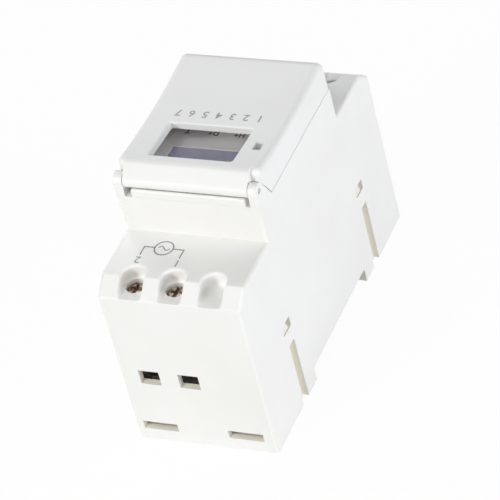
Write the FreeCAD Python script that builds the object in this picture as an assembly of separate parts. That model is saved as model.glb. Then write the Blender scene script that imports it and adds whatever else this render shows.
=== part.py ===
import FreeCAD, Part

import math
import os

from FreeCAD import Vector

# Two-module timer switch for a 35 mm rail, in millimetres. X runs across the front, Y along the 86 mm side
# with the supply terminals at +Y, and Z from the rear face up to the lid. The origin is the middle of the
# rear face.

# Case outline, seen from the side
case_width = 36.0
case_length = 86.0
end_height = 44.4
chamfer_rise = 3.6
chamfer_run = 4.4
nose_length = 46.0
total_height = 66.0
lid_height = 9.2
wall = 1.8
case_edge_round = 0.8
chamfer_edge_round = 0.6

# Clearances
loose_gap = 0.2
moving_gap = 0.3
hinge_gap = 0.2
running_gap = 0.05
contact_gap = 0.1

# Rail recess in the rear, its fixed hook and the rail that it takes
recess_upper = 17.5
recess_lower = 18.0
recess_depth = 3.8
base_floor = 1.8
hook_reach = 1.3
hook_width = 24.0
rail_flange = 1.0
hook_bottom = 0.6

# Sliding clip, its channel and its spring
clip_width = 11.6
clip_reach = 1.5
clip_bevel = 0.7
clip_bottom = 0.7
channel_wall = 1.6
channel_mouth = 9.2
spring_length = 8.5
spring_wire = 0.4
spring_turns = 7
clip_window_width = 3.6
clip_window_length = 14.0
clip_head = 7.4
pry_slot_length = 5.0
pry_slot_width = 1.4
clip_setback = 0.4
spring_stop_length = 1.2
spring_stop_width = 2.6

# Snap joints between the case and the base
tongue_width = 3.9
tongue_thickness = 1.4
tongue_height = 25.6
window_width = 4.3
window_bottom = 22.3
window_top = 25.0
tooth_width = 2.9
tooth_recess = 0.15
tooth_slope = 1.0
slot_width = 2.9
slot_height = 18.2
slot_mouth_step = 0.7
slot_mouth_height = 2.0
far_slot_shift = 1.0
tongue_shift = 0.4
end_slot_width = 9.0
end_slot_spread = 11.0
end_slot_shift = 0.5
end_slot_bottom = 3.2
end_slot_top = 5.5
end_lug_depth = 2.5

# Terminals: pocket, screw, clamp cage and bar
terminal_margin = 7.9
terminal_setback = 5.0
pocket_radius = 3.1
pocket_rim_round = 0.7
pocket_foot_round = 1.0
screw_hole_radius = 2.45
screw_head_radius = 2.15
screw_head_height = 2.3
screw_head_recess = 0.6
head_slot_width = 0.8
head_slot_depth = 1.3
head_cross_reach = 1.35
screw_head_round = 0.35
thread_radius = 1.5
boss_radius = 3.7
boss_ledge = 1.8
entry_width = 5.3
entry_height = 4.15
entry_floor = 17.95
entry_shift = 0.5
cage_gap = 0.35
cage_length = 4.4
cage_wall = 1.0
cage_nut = 2.2
clamp_travel = 4.2
bar_thickness = 1.5
bar_side_gap = 0.5
bar_leg_setback = 2.9
rib_thickness = 1.2
rib_bottom = 12.0
chamber_depth = 11.6

# Lid and its hinge
ear_radius = 1.9
ear_width = 2.1
hinge_drop = 4.3
knuckle_radius = 1.8
pivot_hole_radius = 0.75
pivot_stub_length = 1.3
gap_slope = 58.6
lid_seam_gap = 0.15
lid_side_wall = 1.6
lid_plate = 1.9
lid_front_wall = 1.2
lid_edge_round = 1.5
lid_end_round = 3.0
lid_far_drop = 0.3
lid_dip_drop = 1.55
lid_dip_y = -2.5
lid_crest_setback = 3.7
lid_crest_round = 1.6
strip_lap = 3.0
window_side_margin = 6.9
window_lamp_margin = 7.85
window_near_margin = 6.7
window_length = 13.2
window_corner_round = 0.6
window_rim_round = 0.4
lamp_hole_margin = 3.1
lamp_hole_width = 2.1
lamp_hole_length = 3.0
lamp_hole_near_margin = 12.0
lip_drop = 5.8
lip_band = 2.2
lip_proud = 0.2
lip_hole_width = 2.0
lip_small_hole_width = 1.2
lip_hole_height = 2.1

# Front panel under the lid, with its keys and display
panel_proud = 1.2
panel_thickness = 1.6
panel_rim = 1.2
panel_rim_drop = 1.4
panel_post_radius = 1.2
panel_post_inset = 0.6
aperture_side_margin = 6.4
aperture_lamp_margin = 8.0
aperture_near_margin = 7.6
aperture_length = 11.5
aperture_chamfer = 0.3
key_side_margin = 5.9
key_lamp_margin = 7.3
key_row_setback = 7.5
key_row_pitch = 8.0
key_radius = 2.0
key_proud = 0.9
key_flange_radius = 2.6
key_flange = 1.0
key_nub_radius = 1.0
key_travel = 0.5
key_edge_round = 0.3
switch_size = 4.6
switch_height = 1.5
reset_hole_radius = 0.6
lamp_radius = 1.35
lamp_proud = 0.3
glass_thickness = 2.0
glass_sink = 0.3
display_ledge = 1.0
glass_margin = 1.4
glass_margin_y = 1.7
display_frame_wall = 0.6
connector_width = 1.6
display_board_thickness = 1.6
display_board_drop = 7.0
board_edge_gap = 0.8
switch_dish = 0.4
ledge_reach = 1.6
ledge_thickness = 1.5
ledge_length = 12.0

# Main board and what stands on it
board_thickness = 1.6
board_height = 8.0
board_side_gap = 0.4
board_end_gap = 10.2
pillar_radius = 2.1
board_screw_radius = 1.1
board_screw_head = 1.8
board_screw_head_height = 1.4
board_screw_depth = 4.5
board_screw_slot = 0.6
board_screw_slot_depth = 0.8
relay_side_gap = 0.6
relay_height = 20.4
line_capacitor_screw_gap = 1.6
line_capacitor_depth = 8.5
line_capacitor_height = 15.0
component_gap = 0.4
link_width = 12.0
link_thickness = 0.9
link_x = -6.0
part_edge_round = 0.6
large_can_radius = 3.1
small_can_radius = 2.5
can_screw_gap = 1.3
filter_can_height = 11.0
can_edge_round = 0.3
can_groove_height = 1.2
can_groove_width = 0.6
can_groove_depth = 0.25
diode_pitch = 3.4
diode_screw_gap = 0.25
diode_radius = 1.3
diode_length = 4.6
diode_lead_radius = 0.35
lead_reach = 0.6
resistor_edge_gap = 0.1
resistor_radius = 1.1
resistor_length = 5.6
resistor_lead_radius = 0.3
varistor_radius = 4.6
varistor_thickness = 3.4
varistor_rise = 1.2
varistor_round = 1.0
varistor_leg_spread = 5.0
varistor_leg_radius = 0.4

# Parts on the underside of the display board
battery_radius = 5.8
battery_height = 5.2
battery_place = (7.4, -11.0)
battery_strap_width = 3.0
battery_strap_thickness = 0.3
battery_strap_reach = 0.7
chip_size = 10.0
chip_height = 1.4
chip_stand_off = 0.1
chip_place = (-6.0, 3.0)
chip_legs = 8
chip_leg_width = 0.3
chip_leg_length = 1.0
chip_leg_height = 0.5
crystal_radius = 1.0
crystal_length = 6.0
crystal_place = (4.0, 3.0)

# How far a cutting tool reaches past what it cuts
overrun = 1.0

# Places worked out from the sizes above
half_width = case_width / 2
half_length = case_length / 2
nose_half = nose_length / 2
inner_half_width = half_width - wall
inner_half_length = half_length - wall
inner_nose = nose_half - wall
shoulder_end = half_length - chamfer_run
shoulder_height = end_height + chamfer_rise
seam_height = total_height - lid_height
hinge_y = nose_half - ear_radius
hinge_height = total_height - hinge_drop
lid_crest_y = nose_half - lid_crest_setback
lip_height = total_height - lip_drop
lip_foot = lip_height - lip_band
window_x = (-half_width + window_lamp_margin, half_width - window_side_margin)
window_y = (nose_half - window_near_margin - window_length, nose_half - window_near_margin)
aperture_x = (-half_width + aperture_lamp_margin, half_width - aperture_side_margin)
aperture_y = (nose_half - aperture_near_margin - aperture_length, nose_half - aperture_near_margin)
lamp_hole_x = (-half_width + lamp_hole_margin, -half_width + lamp_hole_margin + lamp_hole_width)
lamp_hole_y = (nose_half - lamp_hole_near_margin - lamp_hole_length, nose_half - lamp_hole_near_margin)
hinge_face = half_width - ear_width
knuckle_half = hinge_face - hinge_gap
terminal_pitch = half_width - terminal_margin
terminal_y = half_length - terminal_setback
cage_width = terminal_pitch - rib_thickness - 2 * cage_gap
bar_width = cage_width - 2 * (cage_wall + bar_side_gap)
pocket_floor = end_height
head_top = pocket_floor - screw_head_recess
head_bottom = head_top - screw_head_height
head_seat = head_bottom - contact_gap
boss_bottom = head_seat - boss_ledge
entry_top = entry_floor + entry_height
bar_bottom = entry_floor + clamp_travel + contact_gap
bar_top = bar_bottom + bar_thickness
board_top = board_height + board_thickness
panel_top = seam_height + panel_proud
panel_bottom = panel_top - panel_thickness
display_board_top = panel_top - display_board_drop
display_board_bottom = display_board_top - display_board_thickness
lamp_x = sum(lamp_hole_x) / 2
lamp_y = sum(lamp_hole_y) / 2
base_half_width = inner_half_width - loose_gap
base_half_length = inner_half_length - loose_gap
glass_top = panel_bottom - contact_gap
glass_bottom = glass_top - glass_thickness
board_width = 2 * (base_half_width - tongue_thickness - board_side_gap)
board_reach = inner_half_length - board_end_gap
bar_leg_y = board_reach - bar_leg_setback
pillar_x = base_half_width - tongue_thickness - contact_gap - pillar_radius
pillar_near_y = bar_leg_y - moving_gap - board_screw_head
line_capacitor_width = 2 * (pillar_x - board_screw_head - line_capacitor_screw_gap)
cans_y = bar_leg_y - component_gap - small_can_radius
line_capacitor_y = cans_y - large_can_radius - contact_gap - line_capacitor_depth / 2
far_row_y = bar_leg_y - component_gap - diode_radius * 2 - loose_gap - diode_pitch / 2 + diode_radius
varistor_y = -far_row_y + loose_gap
relay_near_y = line_capacitor_y - line_capacitor_depth / 2 - link_thickness - 2 * component_gap
relay_far_y = -(far_row_y - diode_pitch / 2 - diode_radius - component_gap)
clip_top = recess_depth - rail_flange - contact_gap
clip_half = clip_width / 2
clip_far = -half_length + clip_setback
clip_near = -recess_lower + clip_reach

# The pillars that carry the main board
pillars = [(side * pillar_x, y) for y in (pillar_near_y, -far_row_y) for side in (1, -1)]

# Columns of the terminal pockets across the front, and the ends of the case
columns = ("left", "middle", "right")
near_columns = ("middle", "right")
column_x = {name: (index - 1) * terminal_pitch for index, name in enumerate(columns)}
pockets = [(column_x[name], end) for end in (1, -1) for name in columns]

# The terminals that have a screw, numbered along the near end and then along the far end
terminals = [(column_x[name], 1) for name in near_columns] + [(column_x[name], -1) for name in columns]

# The keys, in two rows under the display
key_rows = (("clock", "day", "hour", "minute"), ("program", "manual", "recall"))
key_pitch = (case_width - key_side_margin - key_lamp_margin) / (len(key_rows[0]) - 1)
keys = {
    name: (half_width - key_side_margin - column * key_pitch, -key_row_setback - row * key_row_pitch)
    for row, names in enumerate(key_rows)
    for column, name in enumerate(names)
}
reset_place = (keys["minute"][0], keys["recall"][1])


def box(x, y, z):
    """Block between two values of x, of y and of z."""
    low = Vector(min(x), min(y), min(z))
    return Part.makeBox(max(x) - low.x, max(y) - low.y, max(z) - low.z, low)


def rod(radius, start, end):
    """Round bar from one point to another."""
    run = Vector(*end) - Vector(*start)
    return Part.makeCylinder(radius, run.Length, Vector(*start), run)


def profile(start, *legs):
    """Face in the YZ plane. A leg with one point is a line to it, and with two an arc through the first."""
    corners = [Vector(0, *start)]
    edges = []
    for leg in legs + ((start,),):
        points = [Vector(0, *point) for point in leg]
        if len(points) == 2:
            edges.append(Part.Arc(corners[-1], *points).toShape())
        elif (points[0] - corners[-1]).Length > 0:
            edges.append(Part.makeLine(corners[-1], points[0]))
        corners.append(points[-1])
    return Part.Face(Part.Wire(edges))


def across(face, low, high):
    """Solid made by drawing a YZ face from one x to another."""
    moved = face.copy()
    moved.translate(Vector(low, 0, 0))
    return moved.extrude(Vector(high - low, 0, 0))


def both_sides(shape):
    """A shape and its mirror image across the middle of the case, as a list."""
    return [shape, shape.mirror(Vector(0, 0, 0), Vector(1, 0, 0))]


def joined(first, others):
    return first.fuse(list(others)).removeSplitter()


def rounded(shape, radius, wanted):
    """Shape with the edges rounded for which wanted(lowest corner, highest corner) is true."""
    edges = [
        edge
        for edge in shape.Edges
        if wanted(
            Vector(edge.BoundBox.XMin, edge.BoundBox.YMin, edge.BoundBox.ZMin),
            Vector(edge.BoundBox.XMax, edge.BoundBox.YMax, edge.BoundBox.ZMax),
        )
    ]
    return shape.makeFillet(radius, edges)


def near(value, target):
    return abs(value - target) < 0.001


def polar(centre, radius, degrees):
    """Point of the YZ plane at an angle from +Y about a centre."""
    turn = math.radians(degrees)
    return (centre[0] + radius * math.cos(turn), centre[1] + radius * math.sin(turn))


hinge = (hinge_y, hinge_height)


def case_block():
    """Outside of the case up to the seam, with its long edges rounded."""
    face = profile(
        (half_length, 0),
        ((half_length, end_height),),
        ((shoulder_end, shoulder_height),),
        ((nose_half, shoulder_height),),
        ((nose_half, seam_height),),
        ((-nose_half, seam_height),),
        ((-nose_half, shoulder_height),),
        ((-shoulder_end, shoulder_height),),
        ((-half_length, end_height),),
        ((-half_length, 0),),
    )
    block = across(face, -half_width, half_width)

    def chamfer_edge(low, high):
        along_x = near(high.x - low.x, case_width)
        outer = abs(low.y) > nose_half + overrun
        return along_x and outer and (near(low.z, end_height) or near(low.z, shoulder_height))

    def side_edge(low, high):
        on_side = near(low.x, high.x) and near(abs(low.x), half_width)
        flat = near(low.z, high.z)
        return on_side and not (flat and (near(low.z, 0) or near(low.z, seam_height)))

    block = rounded(block, chamfer_edge_round, chamfer_edge)
    return rounded(block, case_edge_round, side_edge)


def case_hollow():
    """Space inside the case, open at the rear and at the seam."""
    ceiling = shoulder_height - wall
    terminal_ceiling = pocket_floor - wall
    chamber_start = inner_half_length - chamber_depth + rib_thickness
    corners = [
        (inner_half_length, -overrun),
        (inner_half_length, terminal_ceiling),
        (chamber_start, terminal_ceiling),
        (chamber_start, ceiling),
        (inner_nose, ceiling),
        (inner_nose, seam_height + overrun),
    ]
    corners += [(-y, z) for y, z in reversed(corners)]
    face = profile(corners[0], *[(corner,) for corner in corners[1:]])
    return across(face, -inner_half_width, inner_half_width)


def hinge_ears():
    """Two ears that carry the lid: upright in front, round over the pivot and sloping behind it."""
    back_slope = 90 + gap_slope
    tangent = polar(hinge, ear_radius, back_slope)
    foot_z = seam_height - wall
    foot_y = tangent[0] - (tangent[1] - foot_z) / math.tan(math.radians(gap_slope))
    face = profile(
        (nose_half, foot_z),
        ((nose_half, hinge_height),),
        (polar(hinge, ear_radius, back_slope / 2), tangent),
        ((foot_y, foot_z),),
    )
    return both_sides(across(face, hinge_face, half_width))


def front_lip():
    """Upper edge of the nose wall under the hinge, cut out round the lid's knuckle."""
    soft = lip_proud * 1.5
    face = profile(
        (inner_nose, seam_height - wall),
        ((nose_half, seam_height - wall),),
        ((nose_half, lip_foot),),
        ((nose_half + lip_proud, lip_foot + soft),),
        ((nose_half + lip_proud, lip_height - soft),),
        ((nose_half + lip_proud - soft, lip_height),),
        ((inner_nose, lip_height),),
    )
    lip = across(face, -hinge_face, hinge_face)
    swing = rod(knuckle_radius + hinge_gap, (-hinge_face, *hinge), (hinge_face, *hinge))
    holes = [
        box(
            (side * (hinge_face - width), side * hinge_face),
            (inner_nose - overrun, nose_half + overrun),
            (lip_height - lip_hole_height, lip_height + overrun),
        )
        for side, width in ((1, lip_hole_width), (-1, lip_small_hole_width))
    ]
    return lip.cut([swing] + holes)


def pocket(x, end):
    """Scalloped pocket over a terminal screw, open at the end face, with a flared rim and a soft floor."""
    top = shoulder_height + overrun
    rim = pocket_rim_round
    foot = pocket_foot_round
    diagonal = math.sqrt(0.5)
    foot_middle = (pocket_radius - foot * (1 - diagonal), pocket_floor + foot * (1 - diagonal))
    rim_middle = (pocket_radius + rim * (1 - diagonal), shoulder_height - rim * (1 - diagonal))
    corners = (
        ((0, pocket_floor),),
        ((pocket_radius - foot, pocket_floor),),
        (foot_middle, (pocket_radius, pocket_floor + foot)),
        ((pocket_radius, shoulder_height - rim),),
        (rim_middle, (pocket_radius + rim, shoulder_height)),
        ((pocket_radius + rim, top),),
        ((0, top),),
    )
    half = profile(corners[0][0], *corners[1:])
    round_part = half.revolve(Vector(0, 0, 0), Vector(0, 0, 1), 180)
    straight = half.extrude(Vector(terminal_setback + overrun, 0, 0))
    tool = joined(straight, [straight.mirror(Vector(0, 0, 0), Vector(0, 1, 0))])
    tool = joined(round_part, [tool])
    tool.rotate(Vector(0, 0, 0), Vector(0, 0, 1), 90 * end)
    tool.translate(Vector(x, end * terminal_y, 0))
    return tool


def terminal_ribs():
    """Walls that part the terminal chambers from each other and from the middle of the case."""
    ribs = []
    inside = inner_half_length - chamber_depth
    ceiling = pocket_floor - wall / 2
    for end in (1, -1):
        ends = (end * inside, end * (inner_half_length + wall / 2))
        for gap in range(len(columns) + 1):
            x = (gap - len(columns) / 2) * terminal_pitch
            ribs.append(box((x - rib_thickness / 2, x + rib_thickness / 2), ends, (rib_bottom, ceiling)))
        cross = (end * inside, end * (inside + rib_thickness))
        reach = inner_half_width + wall / 2
        ribs.append(box((-reach, reach), cross, (bar_top + moving_gap, ceiling)))
    return ribs


def screw_bosses():
    return [
        rod(boss_radius, (x, end * terminal_y, boss_bottom), (x, end * terminal_y, pocket_floor - wall / 2))
        for x, end in terminals
    ]


def screw_bores():
    """Stepped hole for each terminal screw: its head above the ledge and its shank below."""
    bores = []
    for x, end in terminals:
        y = end * terminal_y
        bores.append(rod(screw_hole_radius, (x, y, head_seat), (x, y, pocket_floor + overrun)))
        shank_low, shank_high = boss_bottom - overrun, head_seat + overrun
        bores.append(rod(thread_radius + moving_gap, (x, y, shank_low), (x, y, shank_high)))
    return bores


def wire_entries():
    return [
        box(
            (x + entry_shift - entry_width / 2, x + entry_shift + entry_width / 2),
            (end * (inner_half_length - overrun), end * (half_length + overrun)),
            (entry_floor, entry_top),
        )
        for x, end in terminals
    ]


def side_snaps():
    """Inner edge and middle of the snap joint's slot in each side wall, towards each end."""
    near_slot = nose_half
    far_slot = -nose_half - far_slot_shift - slot_width
    return [(edge, edge + slot_width / 2 + tongue_shift) for edge in (near_slot, far_slot)]


def end_snaps():
    """Middle and end of each snap slot in the end walls."""
    return [(side * end_slot_spread + end * end_slot_shift, end) for end in (1, -1) for side in (1, -1)]


def snap_openings():
    """Slots and windows of the snap joints, in the side walls and in both end walls."""
    cuts = []
    for edge, centre in side_snaps():
        mouth = (edge, edge + slot_width + slot_mouth_step)
        window = (centre - window_width / 2, centre + window_width / 2)
        for side in (1, -1):
            through = (side * (inner_half_width - overrun / 2), side * (half_width + overrun))
            cuts.append(box(through, (edge, edge + slot_width), (-overrun, slot_height)))
            cuts.append(box(through, mouth, (-overrun, slot_mouth_height)))
            cuts.append(box(through, window, (window_bottom, window_top)))
    for middle, end in end_snaps():
        across_x = (middle - end_slot_width / 2, middle + end_slot_width / 2)
        through = (end * (inner_half_length - overrun / 2), end * (half_length + overrun))
        cuts.append(box(across_x, through, (end_slot_bottom, end_slot_top)))
    return cuts


def board_ledges():
    """Ledges inside the nose that carry the display board."""
    ledges = []
    top = display_board_bottom - contact_gap
    for y in (-inner_nose + loose_gap, inner_nose - loose_gap - ledge_length):
        ledges += both_sides(
            box(
                (inner_half_width - ledge_reach, inner_half_width + wall / 2),
                (y, y + ledge_length),
                (top - ledge_thickness, top),
            )
        )
    return ledges


def housing():
    """One-piece case with the hinge ears, terminal chambers and screw bosses."""
    shell = case_block().cut(case_hollow())
    shell = joined(shell, terminal_ribs() + screw_bosses() + board_ledges())
    shell = joined(shell, hinge_ears() + [front_lip()])
    cuts = [pocket(x, end) for x, end in pockets]
    cuts += screw_bores() + wire_entries() + snap_openings()
    wide = half_width + overrun
    cuts.append(box((-wide, wide), (-recess_lower, recess_upper), (-overrun, recess_depth)))
    exit_half = clip_half + moving_gap
    exit_y = (-half_length - overrun, -inner_half_length + overrun)
    cuts.append(box((-exit_half, exit_half), exit_y, (-overrun, clip_top + moving_gap)))
    cuts.append(rod(pivot_hole_radius, (-wide, *hinge), (wide, *hinge)))
    return shell.cut(cuts).removeSplitter()


def latch_tongues():
    """Four springy arms of the base, each with a tooth for a window in the side wall."""
    arms = []
    outer = base_half_width
    root = outer - tongue_thickness / 2
    reach = half_width - tooth_recess
    for edge, centre in side_snaps():
        arm = box(
            (outer - tongue_thickness, outer),
            (centre - tongue_width / 2, centre + tongue_width / 2),
            (base_floor / 2, tongue_height),
        )
        side_view = Part.Face(
            Part.makePolygon(
                [
                    Vector(root, 0, window_bottom + loose_gap),
                    Vector(reach, 0, window_bottom + loose_gap),
                    Vector(reach - tooth_slope, 0, window_top - loose_gap),
                    Vector(root, 0, window_top - loose_gap),
                    Vector(root, 0, window_bottom + loose_gap),
                ]
            )
        )
        side_view.translate(Vector(0, centre + tongue_width / 2 - tooth_width, 0))
        tooth = side_view.extrude(Vector(0, tooth_width, 0))
        arms += both_sides(joined(arm, [tooth]))
    return arms


def clip_channel():
    """Block under the base that guides the sliding clip, and the space that is cut from it."""
    channel_half = clip_half + moving_gap
    block_half = channel_half + channel_wall
    roof = clip_top + moving_gap + channel_wall
    ends = (-base_half_length, -recess_lower - base_floor / 2)
    block = box((-block_half, block_half), ends, (0, roof))
    run = (-half_length - overrun, -recess_lower + overrun)
    space = box((-channel_half, channel_half), run, (clip_bottom - moving_gap, clip_top + moving_gap))
    mouth = box((-channel_mouth / 2, channel_mouth / 2), run, (-overrun, clip_bottom))
    return block, space.fuse(mouth)


def spring_seat_y():
    """Place along Y where the clip's spring stands on its stop."""
    return clip_near - clip_head - spring_length


def base():
    """Rear cover: the rail recess with its hook, the clip's channel, the latch tongues and board pillars."""
    floor_x = (-base_half_width, base_half_width)
    pieces = [
        box(floor_x, (recess_upper, base_half_length), (0, base_floor)),
        box(floor_x, (recess_upper, recess_upper + base_floor), (0, recess_depth + base_floor)),
        box(floor_x, (-recess_lower - base_floor, -recess_lower), (0, recess_depth + base_floor)),
        box(floor_x, (-recess_lower, recess_upper), (recess_depth, recess_depth + base_floor)),
    ]
    hook_half = hook_width / 2
    hook_y = (recess_upper - hook_reach, recess_upper)
    hook_z = (hook_bottom, recess_depth - rail_flange - contact_gap)
    pieces.append(box((-hook_half, hook_half), hook_y, hook_z))
    for middle, end in end_snaps():
        half = end_slot_width / 2 - loose_gap
        depth = (end * (base_half_length - end_lug_depth), end * base_half_length)
        pieces.append(box((middle - half, middle + half), depth, (0, end_slot_bottom - contact_gap)))
    pieces += [rod(pillar_radius, (x, y, 0), (x, y, board_height - contact_gap / 2)) for x, y in pillars]
    block, channel = clip_channel()
    pieces += latch_tongues() + [block]
    rear_plate = box(floor_x, (-base_half_length, -recess_lower), (0, base_floor))
    cover = joined(rear_plate, pieces).cut(channel)
    hole_foot = board_height - board_screw_depth - loose_gap
    hole_radius = board_screw_radius + running_gap
    screw_holes = [rod(hole_radius, (x, y, hole_foot), (x, y, board_height + overrun)) for x, y in pillars]
    stop = box(
        (-spring_stop_width / 2, spring_stop_width / 2),
        (spring_seat_y() - spring_stop_length, spring_seat_y()),
        (clip_bottom + contact_gap, clip_top + moving_gap + channel_wall / 2),
    )
    return joined(cover.cut(screw_holes), [stop])


def clip_window():
    """Long hole in the clip that holds its spring."""
    end = clip_near - clip_head
    half = clip_window_width / 2
    return box((-half, half), (end - clip_window_length, end), (clip_bottom - overrun, clip_top + overrun))


def din_clip():
    """Slider whose bevelled nose grips the rail's lower flange, with a slot for a screwdriver."""
    face = profile(
        (clip_far, clip_bottom),
        ((clip_far, clip_top),),
        ((clip_near, clip_top),),
        ((clip_near, clip_bottom + clip_bevel),),
        ((clip_near - clip_bevel, clip_bottom),),
    )
    pry_far = clip_far + wall
    pry = box(
        (-pry_slot_length / 2, pry_slot_length / 2),
        (pry_far, pry_far + pry_slot_width),
        (clip_bottom - overrun, clip_top + overrun),
    )
    return across(face, -clip_half, clip_half).cut([clip_window(), pry])


def tangent_arc(start, corner, end):
    """Arc from one point to another whose tangents meet in the corner."""
    middle = (start + end) * 0.5
    half_chord = (end - start).Length / 2
    turn = math.acos(half_chord / (corner - start).Length)
    top = middle + (corner - middle).normalize() * (half_chord * math.tan(turn / 2))
    return Part.Arc(start, top, end).toShape()


def helix_biarc(start, start_way, end, end_way):
    """Two tangent arcs that join two points of a helix along its direction there."""
    run = end - start
    ways = start_way + end_way
    square = 2 * start_way.dot(end_way) - 2
    slope = run.dot(ways)
    reach = (slope - math.sqrt(slope * slope - square * run.dot(run))) / square
    first = start + start_way * reach
    last = end - end_way * reach
    joint = (first + last) * 0.5
    return [tangent_arc(start, first, joint), tangent_arc(joint, last, end)]


def clip_spring():
    """Compression spring between the clip and its stop, in one unbroken wire."""
    pitch = (spring_length - spring_wire - 2 * contact_gap) / spring_turns
    middle = (clip_bottom + clip_top) / 2
    reach = (clip_top - clip_bottom) / 2 - spring_wire / 2
    start = spring_seat_y() + contact_gap + spring_wire / 2

    def point(turns):
        turn = 2 * math.pi * turns
        return Vector(reach * math.cos(turn), start + pitch * turns, middle + reach * math.sin(turn))

    def way(turns):
        turn = 2 * math.pi * turns
        along = pitch / (2 * math.pi)
        return Vector(-reach * math.sin(turn), along, reach * math.cos(turn)).normalize()

    quarter = 0.25
    edges = []
    for step in range(round(spring_turns / quarter)):
        low, high = step * quarter, (step + 1) * quarter
        edges += helix_biarc(point(low), way(low), point(high), way(high))
    ring = Part.Wire(Part.makeCircle(spring_wire / 2, point(0), way(0)))
    samples = 40
    beyond = [point(step / samples) for step in range(samples // 2, samples * 3 // 2 + 1)]
    gap = min((point(0) - other).Length for other in beyond) - spring_wire
    print(f"clip_spring: least gap between its turns {gap:.2f} mm")
    return Part.Wire(edges).makePipeShell([ring], True)


def lid_top_line(drop):
    """Far end, dip and crest of the lid's top, lowered by a drop."""
    return (
        (-nose_half + drop, total_height - lid_far_drop - drop),
        (lid_dip_y, total_height - lid_dip_drop - drop),
        (lid_crest_y, total_height - drop),
    )


def slope_foot():
    """Point where the lid's front slope runs into its knuckle."""
    run = lid_crest_y - hinge_y
    rise = total_height - hinge_height
    towards = math.degrees(math.atan2(rise, run))
    open_angle = math.degrees(math.acos(knuckle_radius / math.hypot(run, rise)))
    return polar(hinge, knuckle_radius, towards - open_angle)


def lid_top_height(y):
    """Height of the lid's dished top at a place along the case."""
    circle = Part.Arc(*[Vector(0, *point) for point in lid_top_line(0)]).toShape().Curve
    return circle.Center.z - math.sqrt(circle.Radius ** 2 - (y - circle.Center.y) ** 2)


def lid_cap():
    """Cap of the lid: a dished top, side walls and a front wall whose lower edge slants behind the ears."""
    bottom = seam_height + lid_seam_gap
    far, dip, crest = lid_top_line(0)
    steepness = math.tan(math.radians(gap_slope))
    on_gap = polar(hinge, ear_radius + hinge_gap, 90 + gap_slope)
    gap_foot_y = on_gap[0] - (on_gap[1] - bottom) / steepness
    cheek_foot = (crest[0], on_gap[1] + (crest[0] - on_gap[0]) * steepness)
    outside = profile((-nose_half, bottom), (far,), (dip, crest), (cheek_foot,), ((gap_foot_y, bottom),))
    cap = across(outside, -half_width, half_width)
    cap = rounded(cap, lid_end_round, lambda low, high: near(low.z, far[1]) and near(high.y, far[0]))
    cap = rounded(cap, lid_crest_round, lambda low, high: near(low.y, crest[0]) and near(low.z, crest[1]))

    def top_side_edge(low, high):
        on_side = near(low.x, high.x) and near(abs(low.x), half_width)
        seam_edge = near(low.z, bottom) and (near(high.z, bottom) or high.y > gap_foot_y + contact_gap)
        return on_side and not seam_edge

    cap = rounded(cap, lid_edge_round, top_side_edge)
    under_far, under_dip, under_crest = lid_top_line(lid_plate)
    inner_end = -nose_half + lid_side_wall
    inner_front = lid_crest_y - lid_front_wall
    inside = profile(
        (inner_end, bottom - overrun),
        ((inner_end, under_far[1]),),
        (under_dip, (inner_front, under_crest[1])),
        ((inner_front, bottom - overrun),),
    )
    return cap.cut(across(inside, -half_width + lid_side_wall, half_width - lid_side_wall))


def hinge_strip():
    """Slope from the lid's crest down to its knuckle between the ears, with the knuckle and pivot stubs."""
    crest = lid_top_line(0)[-1]
    start, middle = [(y, lid_top_height(y)) for y in (crest[0] - strip_lap, crest[0] - strip_lap / 2)]
    under = (crest[0] - lid_front_wall, crest[1] - lid_plate)
    outline = profile(start, (middle, crest), (slope_foot(),), (hinge,), (under,))
    strip = across(outline, -knuckle_half, knuckle_half)

    def crest_line(low, high):
        return near(low.y, crest[0]) and near(high.y, crest[0])

    strip = rounded(strip, lid_crest_round, crest_line)
    knuckle = rod(knuckle_radius, (-knuckle_half, *hinge), (knuckle_half, *hinge))
    stubs = both_sides(
        rod(
            pivot_hole_radius - running_gap,
            (knuckle_half - overrun, *hinge),
            (hinge_face + pivot_stub_length, *hinge),
        )
    )
    return [strip, knuckle] + stubs


def lid():
    """Flip lid with its hinge strip, a soft-edged display window and a lamp hole."""
    cover = joined(lid_cap(), hinge_strip())
    above = (seam_height, total_height + overrun)
    lowest = total_height - lid_dip_drop - contact_gap

    def upright(low, high):
        return near(low.x, high.x) and near(low.y, high.y)

    def window_rim(low, high):
        inside_x = low.x > window_x[0] - contact_gap and high.x < window_x[1] + contact_gap
        inside_y = low.y > window_y[0] - contact_gap and high.y < window_y[1] + contact_gap
        return inside_x and inside_y and low.z > lowest

    window = rounded(box(window_x, window_y, above), window_corner_round, upright)
    cover = cover.cut([window, box(lamp_hole_x, lamp_hole_y, above)])
    return rounded(cover, window_rim_round, window_rim)


def panel_posts():
    """Corner posts of the front panel that stand on the display board."""
    x = base_half_width - panel_post_radius - panel_post_inset
    y = inner_nose - panel_post_radius - board_edge_gap - loose_gap
    low = display_board_top + contact_gap / 2
    return [
        rod(panel_post_radius, (side * x, end * y, low), (side * x, end * y, panel_top - panel_thickness / 2))
        for side in (1, -1)
        for end in (1, -1)
    ]


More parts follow.
